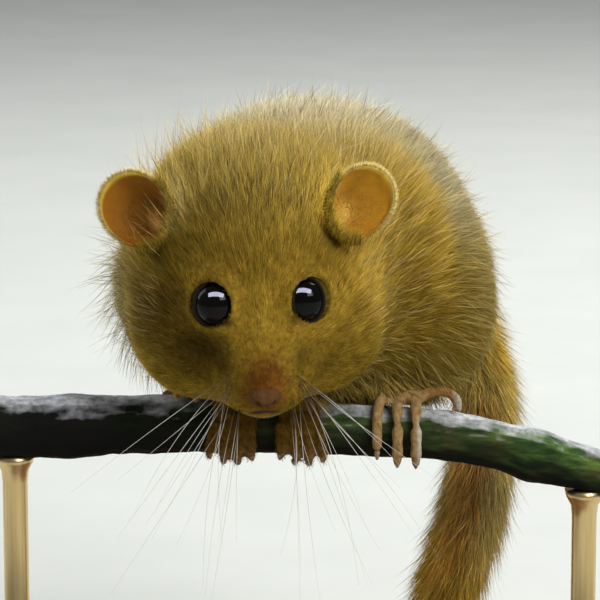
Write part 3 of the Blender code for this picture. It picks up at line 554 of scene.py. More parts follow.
while unseen:  # loose scraps are dropped
    group = front = [unseen.pop()]
    while front:
        front = [v for v in {e.other_vert(v) for v in front for e in v.link_edges} if v in unseen]
        unseen.difference_update(front)
        group = group + front
    if len(group) < SCRAP:
        bmesh.ops.delete(shape, geom=group, context="VERTS")
shape.verts.index_update()
skin_at = np.array([v.co for v in shape.verts]) / MM
skin_faces = np.array([[v.index for v in f.verts] for f in shape.faces])
shape.free()
for _ in range(3):  # two faces on the same three corners are a flap without thickness, so both go
    corner_sets = np.sort(skin_faces, axis=1)
    _, same_as, times = np.unique(corner_sets, axis=0, return_inverse=True, return_counts=True)
    skin_faces = skin_faces[times[same_as.ravel()] == 1]
used, skin_faces = np.unique(skin_faces, return_inverse=True)
skin_at = skin_at[used]
skin_faces = skin_faces.reshape(-1, 3)
skin_edges = np.vstack([skin_faces[:, [k, (k + 1) % 3]] for k in range(3)])
skin_edges = np.unique(np.sort(skin_edges, axis=1), axis=0)


def near_mean(values, rounds, hold=None):
    """Values at the skin's points, evened with their neighbours; hold keeps a share of each as it is."""
    values = np.array(values, float)
    flat = values.reshape(len(values), -1)
    a, b = skin_edges[:, 0], skin_edges[:, 1]
    count = np.bincount(np.concatenate((a, b)), minlength=len(values))
    for _ in range(rounds):
        total = np.column_stack([
            np.bincount(a, flat[b, k], len(values)) + np.bincount(b, flat[a, k], len(values))
            for k in range(flat.shape[1])
        ])
        mean = total / count[:, None]
        flat = mean if hold is None else flat * hold[:, None] + mean * (1 - hold[:, None])
    return flat.reshape(values.shape)


def point_normals(points):
    a, b, c = (points[skin_faces[:, k]] for k in range(3))
    normal = np.cross(b - a, c - a)
    total = np.zeros_like(points)
    for corner in range(3):
        for k in range(3):
            total[:, k] += np.bincount(skin_faces[:, corner], normal[:, k], len(points))
    return unit(total)


tree = BVHTree.FromPolygons(solid_points, solid_faces)
nearest = [tree.find_nearest(p)[2] for p in skin_at]
region_at = np.zeros((len(skin_at), len(REGIONS)))
region_at[np.arange(len(skin_at)), np.array(solid_region)[nearest]] = 1.0
fine_skin = near_mean(region_at[:, [REGIONS.index(name) for name in FINE]].sum(axis=1), 4)
region_at = near_mean(region_at, 14)


def by_region(*values):
    """A value at each point of the skin, mixed from one for each of the regions, in their order."""
    return region_at @ np.array(values, float)


muzzle = ramp(-8.0, -17.0, in_head(skin_at)[:, 1]) * region_at[:, 0]
eye_away = np.min([np.linalg.norm(skin_at - middle, axis=1) for middle, _ in EYES.values()], axis=0)
eye_near = ramp(5.4, 3.4, eye_away)
firm = by_region(0.0, 0.0, 0.0, 0.0, 0.3, 0.93, 0.82, 0.3) + 0.75 * muzzle + 0.95 * eye_near
firm = np.clip(firm, 0.0, 0.97)
skin_at = near_mean(skin_at, 26, firm)
normals = near_mean(point_normals(skin_at), 4)
depth = by_region(0.85, 1.3, 1.2, 1.2, 0.45, 0.05, 0.0, 0.0) * (1 - 0.72 * muzzle) * (1 - 0.9 * eye_near)
depth = near_mean(depth, 6) + PUSH["body"] * 0.8 * (1 - fine_skin) + PUSH["feet"] * fine_skin
skin_at = skin_at - unit(normals) * depth[:, None]
skin_at = near_mean(skin_at, 3, firm)
normals = unit(near_mean(point_normals(skin_at), 2))

# The coat's markings
# One rule gives the colour of every place on the hide and on each tuft that grows there: gold over the
# head and back, cream under the chin and at the rims, dark round the eyes and red-brown on the muzzle.
# It also paints light and shade into them: a painted sheen over the top of the back and crown, a painted
# glow beside the ears, painted shade on the head's right side and the forepaws along with their own darker
# fur, and painted highlights on two hind toes.

GOLD = (0.47, 0.305, 0.038)
BRIGHT = (0.95, 0.66, 0.085)
OLIVE = (0.43, 0.315, 0.072)
CREAM = (0.78, 0.68, 0.36)
# painted sheen: the grey-cream that the back light lays over the top of the back and the crown
PAINTED_SHEEN = (0.64, 0.585, 0.43)
GREY_BROWN = (0.40, 0.355, 0.235)
REDBROWN = (0.24, 0.088, 0.016)
RUSSET = (0.34, 0.145, 0.026)
RUST = (0.62, 0.30, 0.055)
BROWN = (0.125, 0.075, 0.012)
DARK = (0.030, 0.018, 0.006)
FLESH_PINK = (0.62, 0.42, 0.20)
HIGHLIGHT_WHITE = (0.86, 0.84, 0.78)
FACE_PATCHES = [  # in the head's axes: colour, middle, reach each way, softness and strength
    # the next three patches, beside the ears, are a painted glow of the back light shining through the fur
    (BRIGHT, (8.6, -0.8, 10.0), (3.8, 5.5, 4.0), 0.95, 0.7),
    (BRIGHT, (-9.4, 0.0, 9.2), (4.0, 5.0, 4.0), 0.95, 0.95),
    (CREAM, (-9.4, 0.2, 9.2), (3.6, 4.6, 3.8), 0.8, 0.5),
    (BRIGHT, (-13.0, -1.0, 5.0), (4.0, 5.0, 3.0), 0.95, 0.5),
    (BRIGHT, (0.5, -12.6, 5.2), (1.7, 4.0, 4.0), 0.9, 0.30),
    (REDBROWN, (0.0, -18.0, 0.6), (4.4, 5.4, 5.4), 0.75, 0.95),
    (CREAM, (0.0, -15.0, -6.6), (7.0, 7.0, 2.8), 0.7, 0.55),
]
PAIRED_PATCHES = (
    (OLIVE, (12.5, -1.0, -3.0), (6.0, 9.0, 8.0), 0.9, 0.4),
    (BROWN, (9.5, -8.0, -1.0), (5.0, 7.0, 7.0), 1.0, 0.25),
    (BROWN, (4.4, -14.8, 1.0), (2.4, 4.4, 2.8), 0.95, 0.75),
    (BROWN, (6.4, -13.0, -2.6), (3.6, 4.4, 3.0), 0.95, 0.6),
    (DARK, (12.2, -2.2, 6.0), (2.6, 3.0, 2.6), 0.9, 0.75),
)
for side in (1, -1):
    FACE_PATCHES += [(tone, (side * x, y, z), *rest) for tone, (x, y, z), *rest in PAIRED_PATCHES]
# darker fur under the eyes and round the muzzle, deepened as painted shade on the head's right side, away
# from the lamps
SHADED_PATCHES = (
    (BROWN, (-10.4, -9.5, 4.4), (4.6, 5.0, 4.6), 0.9, 0.7),
    (BROWN, (-6.9, -12.3, 0.4), (5.8, 5.8, 5.4), 1.0, 0.84),
    (DARK, (-5.8, -13.0, 1.6), (3.6, 4.6, 4.0), 1.0, 0.55),
    (BROWN, (6.6, -12.5, -1.0), (3.0, 5.0, 3.0), 0.9, 0.4),
    (BROWN, (-11.8, -6.5, 0.5), (6.0, 8.0, 8.5), 1.0, 0.84),
)
EYE_RIMS = {  # how dark the fur is round each eye, and its inner corner
    "left": (0.5, (-1.3, -0.6, -1.9)),
    "right": (0.8, (1.6, -0.6, -1.9)),
}
TAIL_STRIPE = (  # heights down the tail's front, the stripe's places there and the tail's middle behind it
    (-32.0, -21.0, -11.0, -1.0), (14.8, 18.2, 21.2, 22.6), (10.6, 10.8, 13.6, 19.5),
)


def near(points, centre, radii, soft=0.5):
    """1 inside a rounded patch, eased to 0 at its edge, with points and patch in the same axes."""
    away = np.linalg.norm((points - np.array(centre, float)) / np.array(radii, float), axis=1)
    return ramp(1.0, 1.0 - soft, away)


def markings(points, regions):
    """The coat's colour at places on the hide."""
    q = in_head(points)
    p = points - PERCH
    out, back, height = p.T
    head, neck, torso, haunch, foreleg, forepaw, hind_foot, tail = regions.T
    trunk = torso + haunch + neck
    base = np.tile(np.array(GOLD), (len(points), 1))

    def paint(colour, patch, amount):
        share = (np.clip(patch, 0, 1) * amount)[:, None]
        base[:] = base * (1 - share) + np.array(colour) * share

    paint(OLIVE, trunk * ramp(-8.0, 16.0, back), 0.85)
    paint(OLIVE, ramp(22.0, 31.0, height), 0.6)
    # painted sheen of the back light over the top of the back
    paint(PAINTED_SHEEN, ramp(27.0, 37.0, height) * ramp(-8.0, 12.0, back), 0.95)
    paint(GREY_BROWN, trunk * near(p, (15.0, 6.0, 29.0), (12.0, 20.0, 12.0), 1.0), 0.95)
    # painted sheen of the back light over the crown
    paint(PAINTED_SHEEN, head * ramp(30.5, 38.0, height), 0.30)
    paint(CREAM, trunk * ramp(21.0, 32.0, out + 0.42 * height), 0.22)
    paint(CREAM, (torso + neck) * ramp(-13.0, -20.0, out), 0.5)
    paint(CREAM, head * ramp(-12.0, -17.5, q[:, 0]) * ramp(-12.0, -2.0, q[:, 1]), 0.4)
    paint(CREAM, (torso + neck + haunch * 0.5) * ramp(9.0, 2.0, height), 0.35)
    for colour, middle, reach, soft, amount in FACE_PATCHES:
        paint(colour, near(q, middle, reach, soft) * head, amount)
    for side, (amount, corner) in EYE_RIMS.items():
        middle, look = EYES[side]
        away = np.linalg.norm(points - middle, axis=1)
        paint(DARK, ramp(3.3, 2.7, away) * head, amount)
        paint(DARK, near(points, middle + look * 1.6 + corner, (1.2, 1.6, 1.1), 0.9), 0.7)
    for colour, middle, reach, soft, amount in SHADED_PATCHES:
        paint(colour, near(q, middle, reach, soft) * head, amount)
    paint(CREAM, head * ramp(-14.8, -17.4, q[:, 0]) * ramp(6.0, 0.0, q[:, 2]), 0.5)
    paint(RUSSET, forepaw + foreleg * 0.8, 0.85)
    # the forepaws and forelegs darkened to brown: partly their own colour, partly painted shade under the
    # chin
    paint(BROWN, forepaw * 0.85 + foreleg * 0.95, 0.9)
    paint(FLESH_PINK, forepaw * ramp(-0.5, -3.2, height), 0.35)
    paint(FLESH_PINK, hind_foot, 0.85)
    paint(RUSSET, hind_foot * ramp(14.6, 15.6, out) * ramp(1.2, 2.6, height), 0.65)
    # painted highlights: white on the end of the outer toe and down the outer side of the toe beside it
    paint(HIGHLIGHT_WHITE, hind_foot * ramp(17.9, 18.8, out), 0.7)
    paint(HIGHLIGHT_WHITE, hind_foot * ramp(13.5, 14.2, out) * ramp(2.6, 1.0, height), 0.8)
    paint(BRIGHT, tail, 0.5)
    paint(CREAM, tail * near(p, (22.5, 14.0, -4.0), (4.5, 12.0, 26.0), 0.9), 0.6)
    paint(CREAM, tail * ramp(16.5, 12.5, out + 0.18 * height + 3.0), 0.4)
    stripe_at, middle_at = (np.interp(height, TAIL_STRIPE[0], places) for places in TAIL_STRIPE[1:])
    stripe = ramp(1.7, 0.3, np.abs(out - stripe_at)) * ramp(3.0, -2.0, height)
    stripe = stripe * ramp(0.8, -0.8, back - middle_at) * (1 - 0.45 * ramp(-14.0, -22.0, height))
    paint(RUST, tail * stripe, 0.8)
    return np.clip(base, 0.0, 1.0)


def store_colour(made, colours):
    layer = made.data.color_attributes.new("Markings", "FLOAT_COLOR", "POINT")
    values = np.column_stack((colours, np.ones(len(colours))))
    layer.data.foreach_set("color", values.astype(np.float32).ravel())


hide = Finish("hide", 0.7, Specular_IOR_Level=0.0)
hide_colour = hide.painted()
fleck = hide.speckle(1600.0, 3.0, 0.6)
dark_hide = hide.times(hide_colour, (0.34, 0.30, 0.28))
light_hide = hide.times(hide_colour, (0.80, 0.78, 0.74))
hide.colour(hide.mixed(hide.spread(fleck, 0.30, 0.70), dark_hide, light_hide))
hide.bumps(fleck, 0.5, 0.0002)
skin = piece("skin", skin_at, skin_faces, hide, "skin")
store_colour(skin, markings(skin_at, region_at))
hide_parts(*FLESH, "tail_root", "tail_middle", "tail_tip")

# The coat
# Fine soft fur in thin tapering tufts that lie back from the nose over the head, back and down over the
# body, down the legs and along the tail, which is bushy. It is shortest on the muzzle and the feet.

NOSE_TIP = from_head(0.0, -20.5, 0.0)
SHOULDERS = PERCH + (-4.0, -4.0, 18.0)
TRUNK = PERCH + (1.2, 14.5, 18.3)
TRUNK_WAY = unit((math.sin(math.radians(10.0)), math.cos(math.radians(10.0)), 0.0))
ON_HEAD = (HEAD, HEAD_TURN)
ON_TRUNK = (TRUNK, np.eye(3))
PATCH = 0.003  # how wide a tuft's patch is on the map for the bake
STATIONS = {1: (0.0,), 2: (0.0, 0.45)}  # where a tuft's rings sit along it, by their number
STATION_WIDTHS = {1: (1.0,), 2: (0.8, 1.0)}

fur = Finish("fur", 0.6, Specular_IOR_Level=0.015)
tuft_tone = fur.shades(
    fur.node("Attribute", {"attribute_name": "Shade"}).outputs["Fac"],
    (0.0, (0.34, 0.32, 0.30)), (0.22, (0.74, 0.74, 0.72)), (0.78, 1.12), (1.0, (1.8, 1.8, 1.9)),
)
root_tone = fur.shades(
    fur.node("Attribute", {"attribute_name": "Along"}).outputs["Fac"],
    (0.0, (0.44, 0.40, 0.36)), (0.55, 0.90), (1.0, (1.30, 1.32, 1.35)),
)
fur.colour(fur.times(fur.times(fur.painted(), tuft_tone), root_tone))


def level(vectors, normal):
    """Vectors without their share along the normals."""
    return vectors - normal * np.sum(vectors * normal, axis=-1, keepdims=True)


# the lie of the fur, and its length, rise in degrees, width of a tuft and closeness at the skin's points
back_down = TRUNK_WAY * 0.9 + np.array((0, 0, -0.55)) * ramp(34.0, 18.0, (skin_at - PERCH)[:, 2])[:, None]
over_trunk = unit(unit(back_down) + 0.7 * unit(skin_at - SHOULDERS))
on_tail = region_at[:, 7] > 0.02
tail_spot = np.zeros(len(skin_at), int)
tail_spot[on_tail] = [np.argmin(np.sum((TAIL_PATH - place) ** 2, axis=1)) for place in skin_at[on_tail]]
head_share, neck_share, torso_share, haunch_share, foreleg_share, paw_share, foot_share, tail_share = (
    region_at[:, [k]] for k in range(len(REGIONS))
)
lie = head_share * unit(skin_at - NOSE_TIP)
lie += (neck_share + torso_share) * over_trunk
lie += haunch_share * unit((0.0, 0.35, -1.0))
lie += foreleg_share * unit((0.0, -0.25, -1.0))
lie += (paw_share + foot_share) * unit((0.0, -0.8, -0.6))
lie += tail_share * unit(np.gradient(TAIL_PATH, axis=0))[tail_spot]
lie = unit(near_mean(level(lie, normals), 8))
head_back = in_head(skin_at)[:, 1]
nape = ramp(-6.0, 5.0, head_back) * region_at[:, 0]
length = by_region(2.1, 4.8, 4.4, 3.6, 1.3, 0.8, 0.5, 6.3) * (1 - 0.60 * muzzle) * (1 - 0.55 * eye_near)
length = length + 2.2 * nape + 1.6 * ramp(3.0, 9.0, head_back) * region_at[:, 0]
rise = 7.0 * nape + by_region(17.0, 18.0, 19.0, 18.0, 14.0, 11.0, 10.0, 33.0)
thick = by_region(0.085, 0.095, 0.095, 0.095, 0.085, 0.07, 0.05, 0.085) * (1 - 0.2 * muzzle)
bare = np.maximum(ramp(2.95, 2.8, eye_away), near(in_head(skin_at), (0.0, -20.2, 0.3), (1.3, 1.2, 1.2), 0.2))
close = by_region(24.0, 20.0, 16.0, 15.0, 24.0, 20.0, 3.0, 30.0) * (1 + 0.4 * muzzle) * (1 - bare)
clump = np.array([noise.noise(Vector(place)) for place in skin_at * 0.9])
streak = np.array([noise.noise(Vector(place)) for place in skin_at * (2.3, 1.1, 2.3)])


def tufts(name, root, normal, along, size, angle, width, colour, unwrap, seed, rings=1, spread=9.0,
          droop=0.55, sink=0.15, tone=0.0, sway=0.0):
    """One joined mesh of three-sided tapering tufts, with its colours and its map for the bake."""
    draw = np.random.default_rng(seed)
    count = len(root)
    across = unit(np.cross(normal, along))
    yaw = (np.radians(draw.normal(0.0, spread, count)) + sway)[:, None]
    along = along * np.cos(yaw) + across * np.sin(yaw)
    across = unit(np.cross(normal, along))
    size = size * draw.uniform(0.72, 1.18, count)
    angle = np.radians(angle * draw.uniform(0.6, 1.35, count))
    width = width * draw.uniform(0.7, 1.25, count)
    at = root - normal * sink
    lines = []
    previous = 0.0
    for station in (*STATIONS[rings], 1.0):
        bend = angle * (1.35 - droop * (station + previous))
        way = along * np.cos(bend)[:, None] + normal * np.sin(bend)[:, None]
        at = at + way * ((station - previous) * size)[:, None]
        lines.append(at)
        previous = station
    corners = []
    for row, share in zip(lines, STATION_WIDTHS[rings]):
        for k in range(3):
            turn = math.tau * k / 3 + math.pi / 2
            way = across * math.cos(turn) + normal * math.sin(turn)
            corners.append(row + way * (width * share / 2)[:, None])
    points = np.stack(corners + [lines[-1]], axis=1).reshape(-1, 3)
    per = 3 * rings + 1
    pattern = [(2, 1, 0)]
    for low in range(0, per - 4, 3):
        for k in range(3):
            a, b = low + k, low + (k + 1) % 3
            pattern += [(a, b, b + 3), (a, b + 3, a + 3)]
    pattern += [(per - 4 + k, per - 4 + (k + 1) % 3, per - 1) for k in range(3)]
    faces = (np.arange(count)[:, None, None] * per + np.array(pattern)[None]).reshape(-1, 3)
    made = piece(name, points, faces, fur, "coat")
    store_colour(made, np.repeat(colour, per, axis=0))
    along_share = np.array([station for station in STATIONS[rings] for _ in range(3)] + [1.0])
    around_share = np.array([0, 1 / 3, 2 / 3] * rings + [0.5])
    shade = np.clip(draw.random(count) + tone, 0.0, 1.0)
    for label, values in (("Along", np.tile(along_share, count)), ("Shade", np.repeat(shade, per))):
        layer = made.data.attributes.new(label, "FLOAT", "POINT")
        layer.data.foreach_set("value", values.astype(np.float32))
    patch = unwrap[:, None, :] + PATCH * np.column_stack((around_share, along_share))[None]
    bake = made.data.uv_layers.new(name="OFBake")
    bake.data.foreach_set("uv", patch.reshape(-1, 2)[faces.ravel()].astype(np.float32).ravel())


def unwrap_round(points, centre, turn):
    """A place on a flat map of the hide: round a middle and up it."""
    q = (points - centre) @ turn
    away = np.maximum(np.linalg.norm(q, axis=1), 1e-6)
    u = (np.arctan2(q[:, 0], -q[:, 1]) / math.tau + 0.5) * 0.99
    v = (np.arcsin(np.clip(q[:, 2] / away, -1, 1)) / math.pi + 0.5) * 0.99
    return np.column_stack((u, v))


def grow(name, chosen, count, where, seed, stretch=1.0, lean=0.0, slim=1.0, paler=0.0, **more):
    """A piece of the coat, strewn evenly over the chosen faces and thicker where the coat is closer."""
    draw = np.random.default_rng(100 + seed)
    faces = skin_faces[chosen]
    a, b, c = (skin_at[faces[:, k]] for k in range(3))
    run = np.cumsum(np.linalg.norm(np.cross(b - a, c - a), axis=1) / 2 * close[faces].mean(axis=1))
    at = (np.arange(count) + draw.random(count)) / count * run[-1]
    picked = faces[np.searchsorted(run, at).clip(0, len(faces) - 1)]
    u, v = draw.random(count), draw.random(count)
    u, v = np.where(u + v > 1, 1 - u, u), np.where(u + v > 1, 1 - v, v)
    shares = np.column_stack((1 - u - v, u, v))

    def there(values):
        return np.einsum("nk,nk...->n...", shares, values[picked])

    root = there(skin_at)
    normal = unit(there(normals))
    colour = markings(root, there(region_at))
    tufts(
        name, root, normal, unit(level(there(lie), normal)), there(length * stretch), there(rise) + lean,
        there(thick) * slim, colour + (np.array(CREAM) - colour) * paler, unwrap_round(root, *where),
        200 + seed, tone=there(streak) * 0.55, sway=there(clump) * 0.45, **more,
    )


middle_of = skin_at[skin_faces].mean(axis=1)
of_head = in_head(middle_of)
of_body = middle_of - PERCH
region_face = np.argmax(region_at[skin_faces].mean(axis=1), axis=1)
is_head = region_face == 0
is_trunk = (region_face == 1) | (region_face == 2)
is_leg = (region_face == 3) | (region_face == 4)
is_foot = (region_face == 5) | (region_face == 6)
is_tail = region_face == 7
crown = of_head[:, 1] > -2.0
left_face = of_head[:, 0] >= 0
left_flank = of_body[:, 0] >= 1.2
top = of_body[:, 2] >= 26
COATS = (  # each piece's faces, count of tufts, map and rings of a tuft
    ("coat_face_left", is_head & ~crown & left_face, 42000, ON_HEAD, 1),
    ("coat_face_right", is_head & ~crown & ~left_face, 42000, ON_HEAD, 1),
    ("coat_crown", is_head & crown, 35000, ON_HEAD, 1),
    ("coat_flank_left", is_trunk & left_flank & ~top, 47000, ON_TRUNK, 1),
    ("coat_flank_right", is_trunk & ~left_flank & ~top, 38000, ON_TRUNK, 1),
    ("coat_back", is_trunk & top, 44000, ON_TRUNK, 1),
    ("coat_legs", is_leg, 14000, ON_TRUNK, 1),
    ("coat_feet", is_foot, 7500, ON_TRUNK, 1),
    ("coat_tail", is_tail, 15200, ON_TRUNK, 2),
)
for seed, (name, chosen, count, where, rings) in enumerate(COATS):
    grow(name, chosen, count, where, seed, rings=rings)
side_of_head = is_head & (np.abs(of_head[:, 0]) > 10.5) & (of_head[:, 1] > -9.0)
grow("coat_guard_hairs", is_trunk | is_leg | (is_head & crown) | side_of_head, 6000, ON_TRUNK, 20,
     stretch=1.3 + 0.5 * ramp(-9.0, -17.0, skin_at[:, 0]), lean=13.0, slim=0.60, paler=0.35,
     rings=2, spread=18.0, droop=0.35)
grow("coat_belly_fringe", is_trunk & (of_body[:, 2] < 7.0) & (of_body[:, 1] < 14.0), 4500, ON_TRUNK, 23,
     stretch=1.15, lean=14.0, rings=2, spread=14.0, droop=0.4)
by_left_ear = near(of_head, (9.6, -0.2, 9.8), (2.8, 3.4, 3.4)) > 0.3
by_right_ear = near(of_head, (-10.2, 0.6, 9.0), (2.8, 3.6, 3.4)) > 0.3
grow("coat_ear_fringe", is_head & (by_left_ear | by_right_ear), 2400, ON_HEAD, 22,
     stretch=0.6, lean=5.0, slim=0.9, paler=0.2, rings=2, spread=14.0, droop=0.4)
grow("coat_tail_guard_hairs", is_tail, 2400, ON_TRUNK, 21,
     stretch=1.1, lean=4.0, slim=0.55, paler=0.25, rings=2, spread=12.0, droop=0.4)

# The eyes
# Large, round and glossy black, with a thin dark rim of bare lid that is drawn out at the inner corner.
# The lid runs back over the ball into the face and carries short hairs that lie away from the opening.

LID_HALF = {"left": (1.64, 2.38), "right": (2.05, 2.48)}
LID_BEAD = ((0.0, -0.25), (-0.03, 0.06), (0.01, 0.24), (0.06, 0.30))  # past the edge and over the ball
LID_ROWS = 16
LID_SIDES = 96
LID_HAIRS = 3200
LID_BACK = 1.75
LID_DARK = (0.010, 0.006, 0.004)

eye_black = Finish("eye_black", 0.07, IOR=1.24)
eye_tone = eye_black.speckle(900.0)
eye_black.colour(eye_black.shades(eye_tone, (0.3, (0.0015, 0.0012, 0.0012)), (0.8, (0.004, 0.003, 0.002))))
lid_skin = Finish("lid_skin", 0.6, Specular_IOR_Level=0.1)
lid_fleck = lid_skin.spread(lid_skin.speckle(2500.0), 0.3, 0.7, 0.0, 0.5)
lid_skin.colour(lid_skin.mixed(lid_fleck, lid_skin.painted(), LID_DARK))


def closed_piece(name, points, faces, finish, slot):
    """A piece whose faces are first turned outwards."""
    made = piece(name, points, faces, finish, slot)
    fixer = bmesh.new()
    fixer.from_mesh(made.data)
    bmesh.ops.recalc_face_normals(fixer, faces=fixer.faces)
    fixer.to_mesh(made.data)
    fixer.free()
    return made


def globe(rows, cols):
    """The tilts and turns of a ball's points from pole to pole, and its faces."""
    spots = [(0.0, 0.0)]
    spots += [(math.pi * r / rows, math.tau * k / cols) for r in range(1, rows) for k in range(cols)]
    spots.append((math.pi, 0.0))
    last = len(spots) - 1
    faces = [(0, 1 + (k + 1) % cols, 1 + k) for k in range(cols)] + bands(rows - 1, cols, 1)
    faces += [(last - cols + k, last - cols + (k + 1) % cols, last) for k in range(cols)]
    return spots, faces


def face_colour(points):
    """The coat's colour at places on the head."""
    return markings(points, np.tile(np.eye(len(REGIONS))[0], (len(points), 1)))


for side, (middle, look) in EYES.items():
    across_eye = unit(np.cross((0, 0, 1.0), look))
    up_eye = np.cross(look, across_eye)
    spots, ball_faces = globe(28, 48)
    ball = []
    for tilt, turn in spots:
        way = across_eye * math.cos(turn) + up_eye * math.sin(turn)
        ball.append(middle + EYE_RADIUS * (look * math.cos(tilt) + way * math.sin(tilt)))
    eye = closed_piece("eyeball_" + side, ball, ball_faces, eye_black, "eye")
    window.light_linking.receiver_collection.objects.link(eye)
    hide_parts("eye_" + side)

    nose_way = unit(level(unit(from_head(0.0, -17.5, 0.5) - middle), look))
    wide, tall = LID_HALF[side]
    lid_points, lid_tones, lid_ways = [], [], []
    for row in range(LID_ROWS + 1):
        for k in range(LID_SIDES):
            turn = math.tau * k / LID_SIDES
            opening = across_eye * math.cos(turn) * wide + up_eye * math.sin(turn) * tall
            way = unit(opening)
            corner = math.exp(-((1 - way.dot(nose_way)) / 0.035))
            tilt = math.asin(min(0.985, np.linalg.norm(opening) / EYE_RADIUS * (1 + 0.14 * corner)))
            if row < len(LID_BEAD):
                tilt += LID_BEAD[row][0]
                out = EYE_RADIUS + LID_BEAD[row][1]
            else:
                share = (row - len(LID_BEAD)) / (LID_ROWS - len(LID_BEAD))
                tilt += (LID_BACK - tilt) * share
                out = EYE_RADIUS + 0.22 - 0.35 * share
            lid_points.append(middle + (look * math.cos(tilt) + way * math.sin(tilt)) * out)
            lid_ways.append(unit(way * math.cos(tilt) - look * math.sin(tilt)))
            lid_tones.append(float(ramp(2.6, 5.5, row)))
    count = len(lid_points)
    edge = LID_ROWS * LID_SIDES
    shell, lid_ways, share = np.array(lid_points), np.array(lid_ways), np.array(lid_tones)[:, None]
    lid_faces = bands(LID_ROWS + 1, LID_SIDES) + bands(LID_ROWS + 1, LID_SIDES, count)
    lid_faces[edge:] = [tuple(reversed(face)) for face in lid_faces[edge:]]
    lid_faces += band(count, 0, LID_SIDES) + band(edge, edge + count, LID_SIDES)
    face_tone = face_colour(shell)
    tone = face_tone * share + np.array(LID_DARK) * (1 - share)
    both = np.vstack((shell, middle + (shell - middle) * 0.86))
    lids = closed_piece("eyelid_" + side, both, lid_faces, lid_skin, "skin")
    store_colour(lids, np.vstack((tone, tone)))

    draw = np.random.default_rng(40 + len(side))
    at = draw.integers(5 * LID_SIDES, count - LID_SIDES, LID_HAIRS)
    way = lid_ways[at]
    root = shell[at] + way * draw.normal(0, 0.08, (LID_HAIRS, 1))
    root = root + np.cross(way, look) * draw.normal(0, 0.08, (LID_HAIRS, 1))
    normal = unit(root - middle)
    swept = unit(level(unit(way + 0.5 * unit(root - NOSE_TIP)), normal))
    tufts("coat_lid_" + side, root, normal, swept, 0.55 + 0.7 * share[at, 0], 13.0, 0.07, face_tone[at],
          unwrap_round(root, *ON_HEAD), 340 + len(side), sink=0.05)

# The ears
# Thin rounded leaves of bare skin with a rolled edge, set upright on the crown: an outer face of fine
# down, a bare inner cup with a low ridge and a pale lump at its foot, and short cream hairs round the
# edge. The cups, the upper rims and their hairs carry a painted glow of the back light shining through
# them. Longer hairs in the fur's colour, brightened by the same painted glow, stand over the foot of the cup.

EAR_WALL = 0.42
EAR_CUP = 2.3
EAR_RINGS = 24
EAR_SIDES = 80
EDGE_HAIRS, CUP_HAIRS, BACK_HAIRS, FOOT_HAIRS = 2600, 2400, 4600, 1600
STANDS = (0.56, 0.66, 0.50)  # the way both ears stand, in the head's axes with X outwards
# the left ear's inner tone is brighter than the right's: a painted glow of the back light through its skin
EARS = {  # in the same axes: its side, its middle, the way it looks, its halves and its tone
    "left": (1, (12.0, -0.6, 11.1), (0.30, -0.62, 0.72), (4.0, 4.30), (0.55, 0.27, 0.022)),
    "right": (-1, (13.5, 1.5, 9.1), (0.20, -0.63, 0.72), (4.25, 4.55), (0.32, 0.125, 0.012)),
}

ear_skin = Finish("ear_skin", 0.6, Specular_IOR_Level=0.05)
ear_fleck = ear_skin.speckle(900.0, 3.0, 0.6)
ear_spots = ear_skin.spread(ear_fleck, 0.40, 0.75, 0.0, 0.3)
ear_skin.colour(ear_skin.mixed(ear_spots, ear_skin.painted(), (0.16, 0.06, 0.02)))
ear_skin.bumps(ear_fleck, 0.3, 0.0002)


def sided(side, x, y, z):
    return HEAD_TURN @ np.array((side * x, y, z), float)


def ear_tone(inner, share, high, outward, ridge, lump):
    """The colour inside an ear's cup: deep in the middle, bright at the upper rim as a painted glow of the
    back light, pale on the lump.
    """
    deep = inner * (0.62 + 0.55 * share) * (1.0 - 0.25 * min(1.0, ridge * 2))
    # painted highlight: the upper rim brightened as the back light shines through it
    rim = ramp(0.86, 0.97, share) * 0.85 * ramp(-0.75, 0.0, high - 0.25 * outward)
    pale = min(1.0, lump / 1.1)
    foot = 0.7 * ramp(-0.70, -0.98, share * high) * (1 - 0.6 * pale)
    tone = deep * (1 - rim) + np.array(BRIGHT) * rim
    tone = tone * (1 - 0.9 * pale) + inner * (1.55, 2.0, 4.5) * 0.9 * pale
    return tone * (1 - foot) + np.array(DARK) * foot


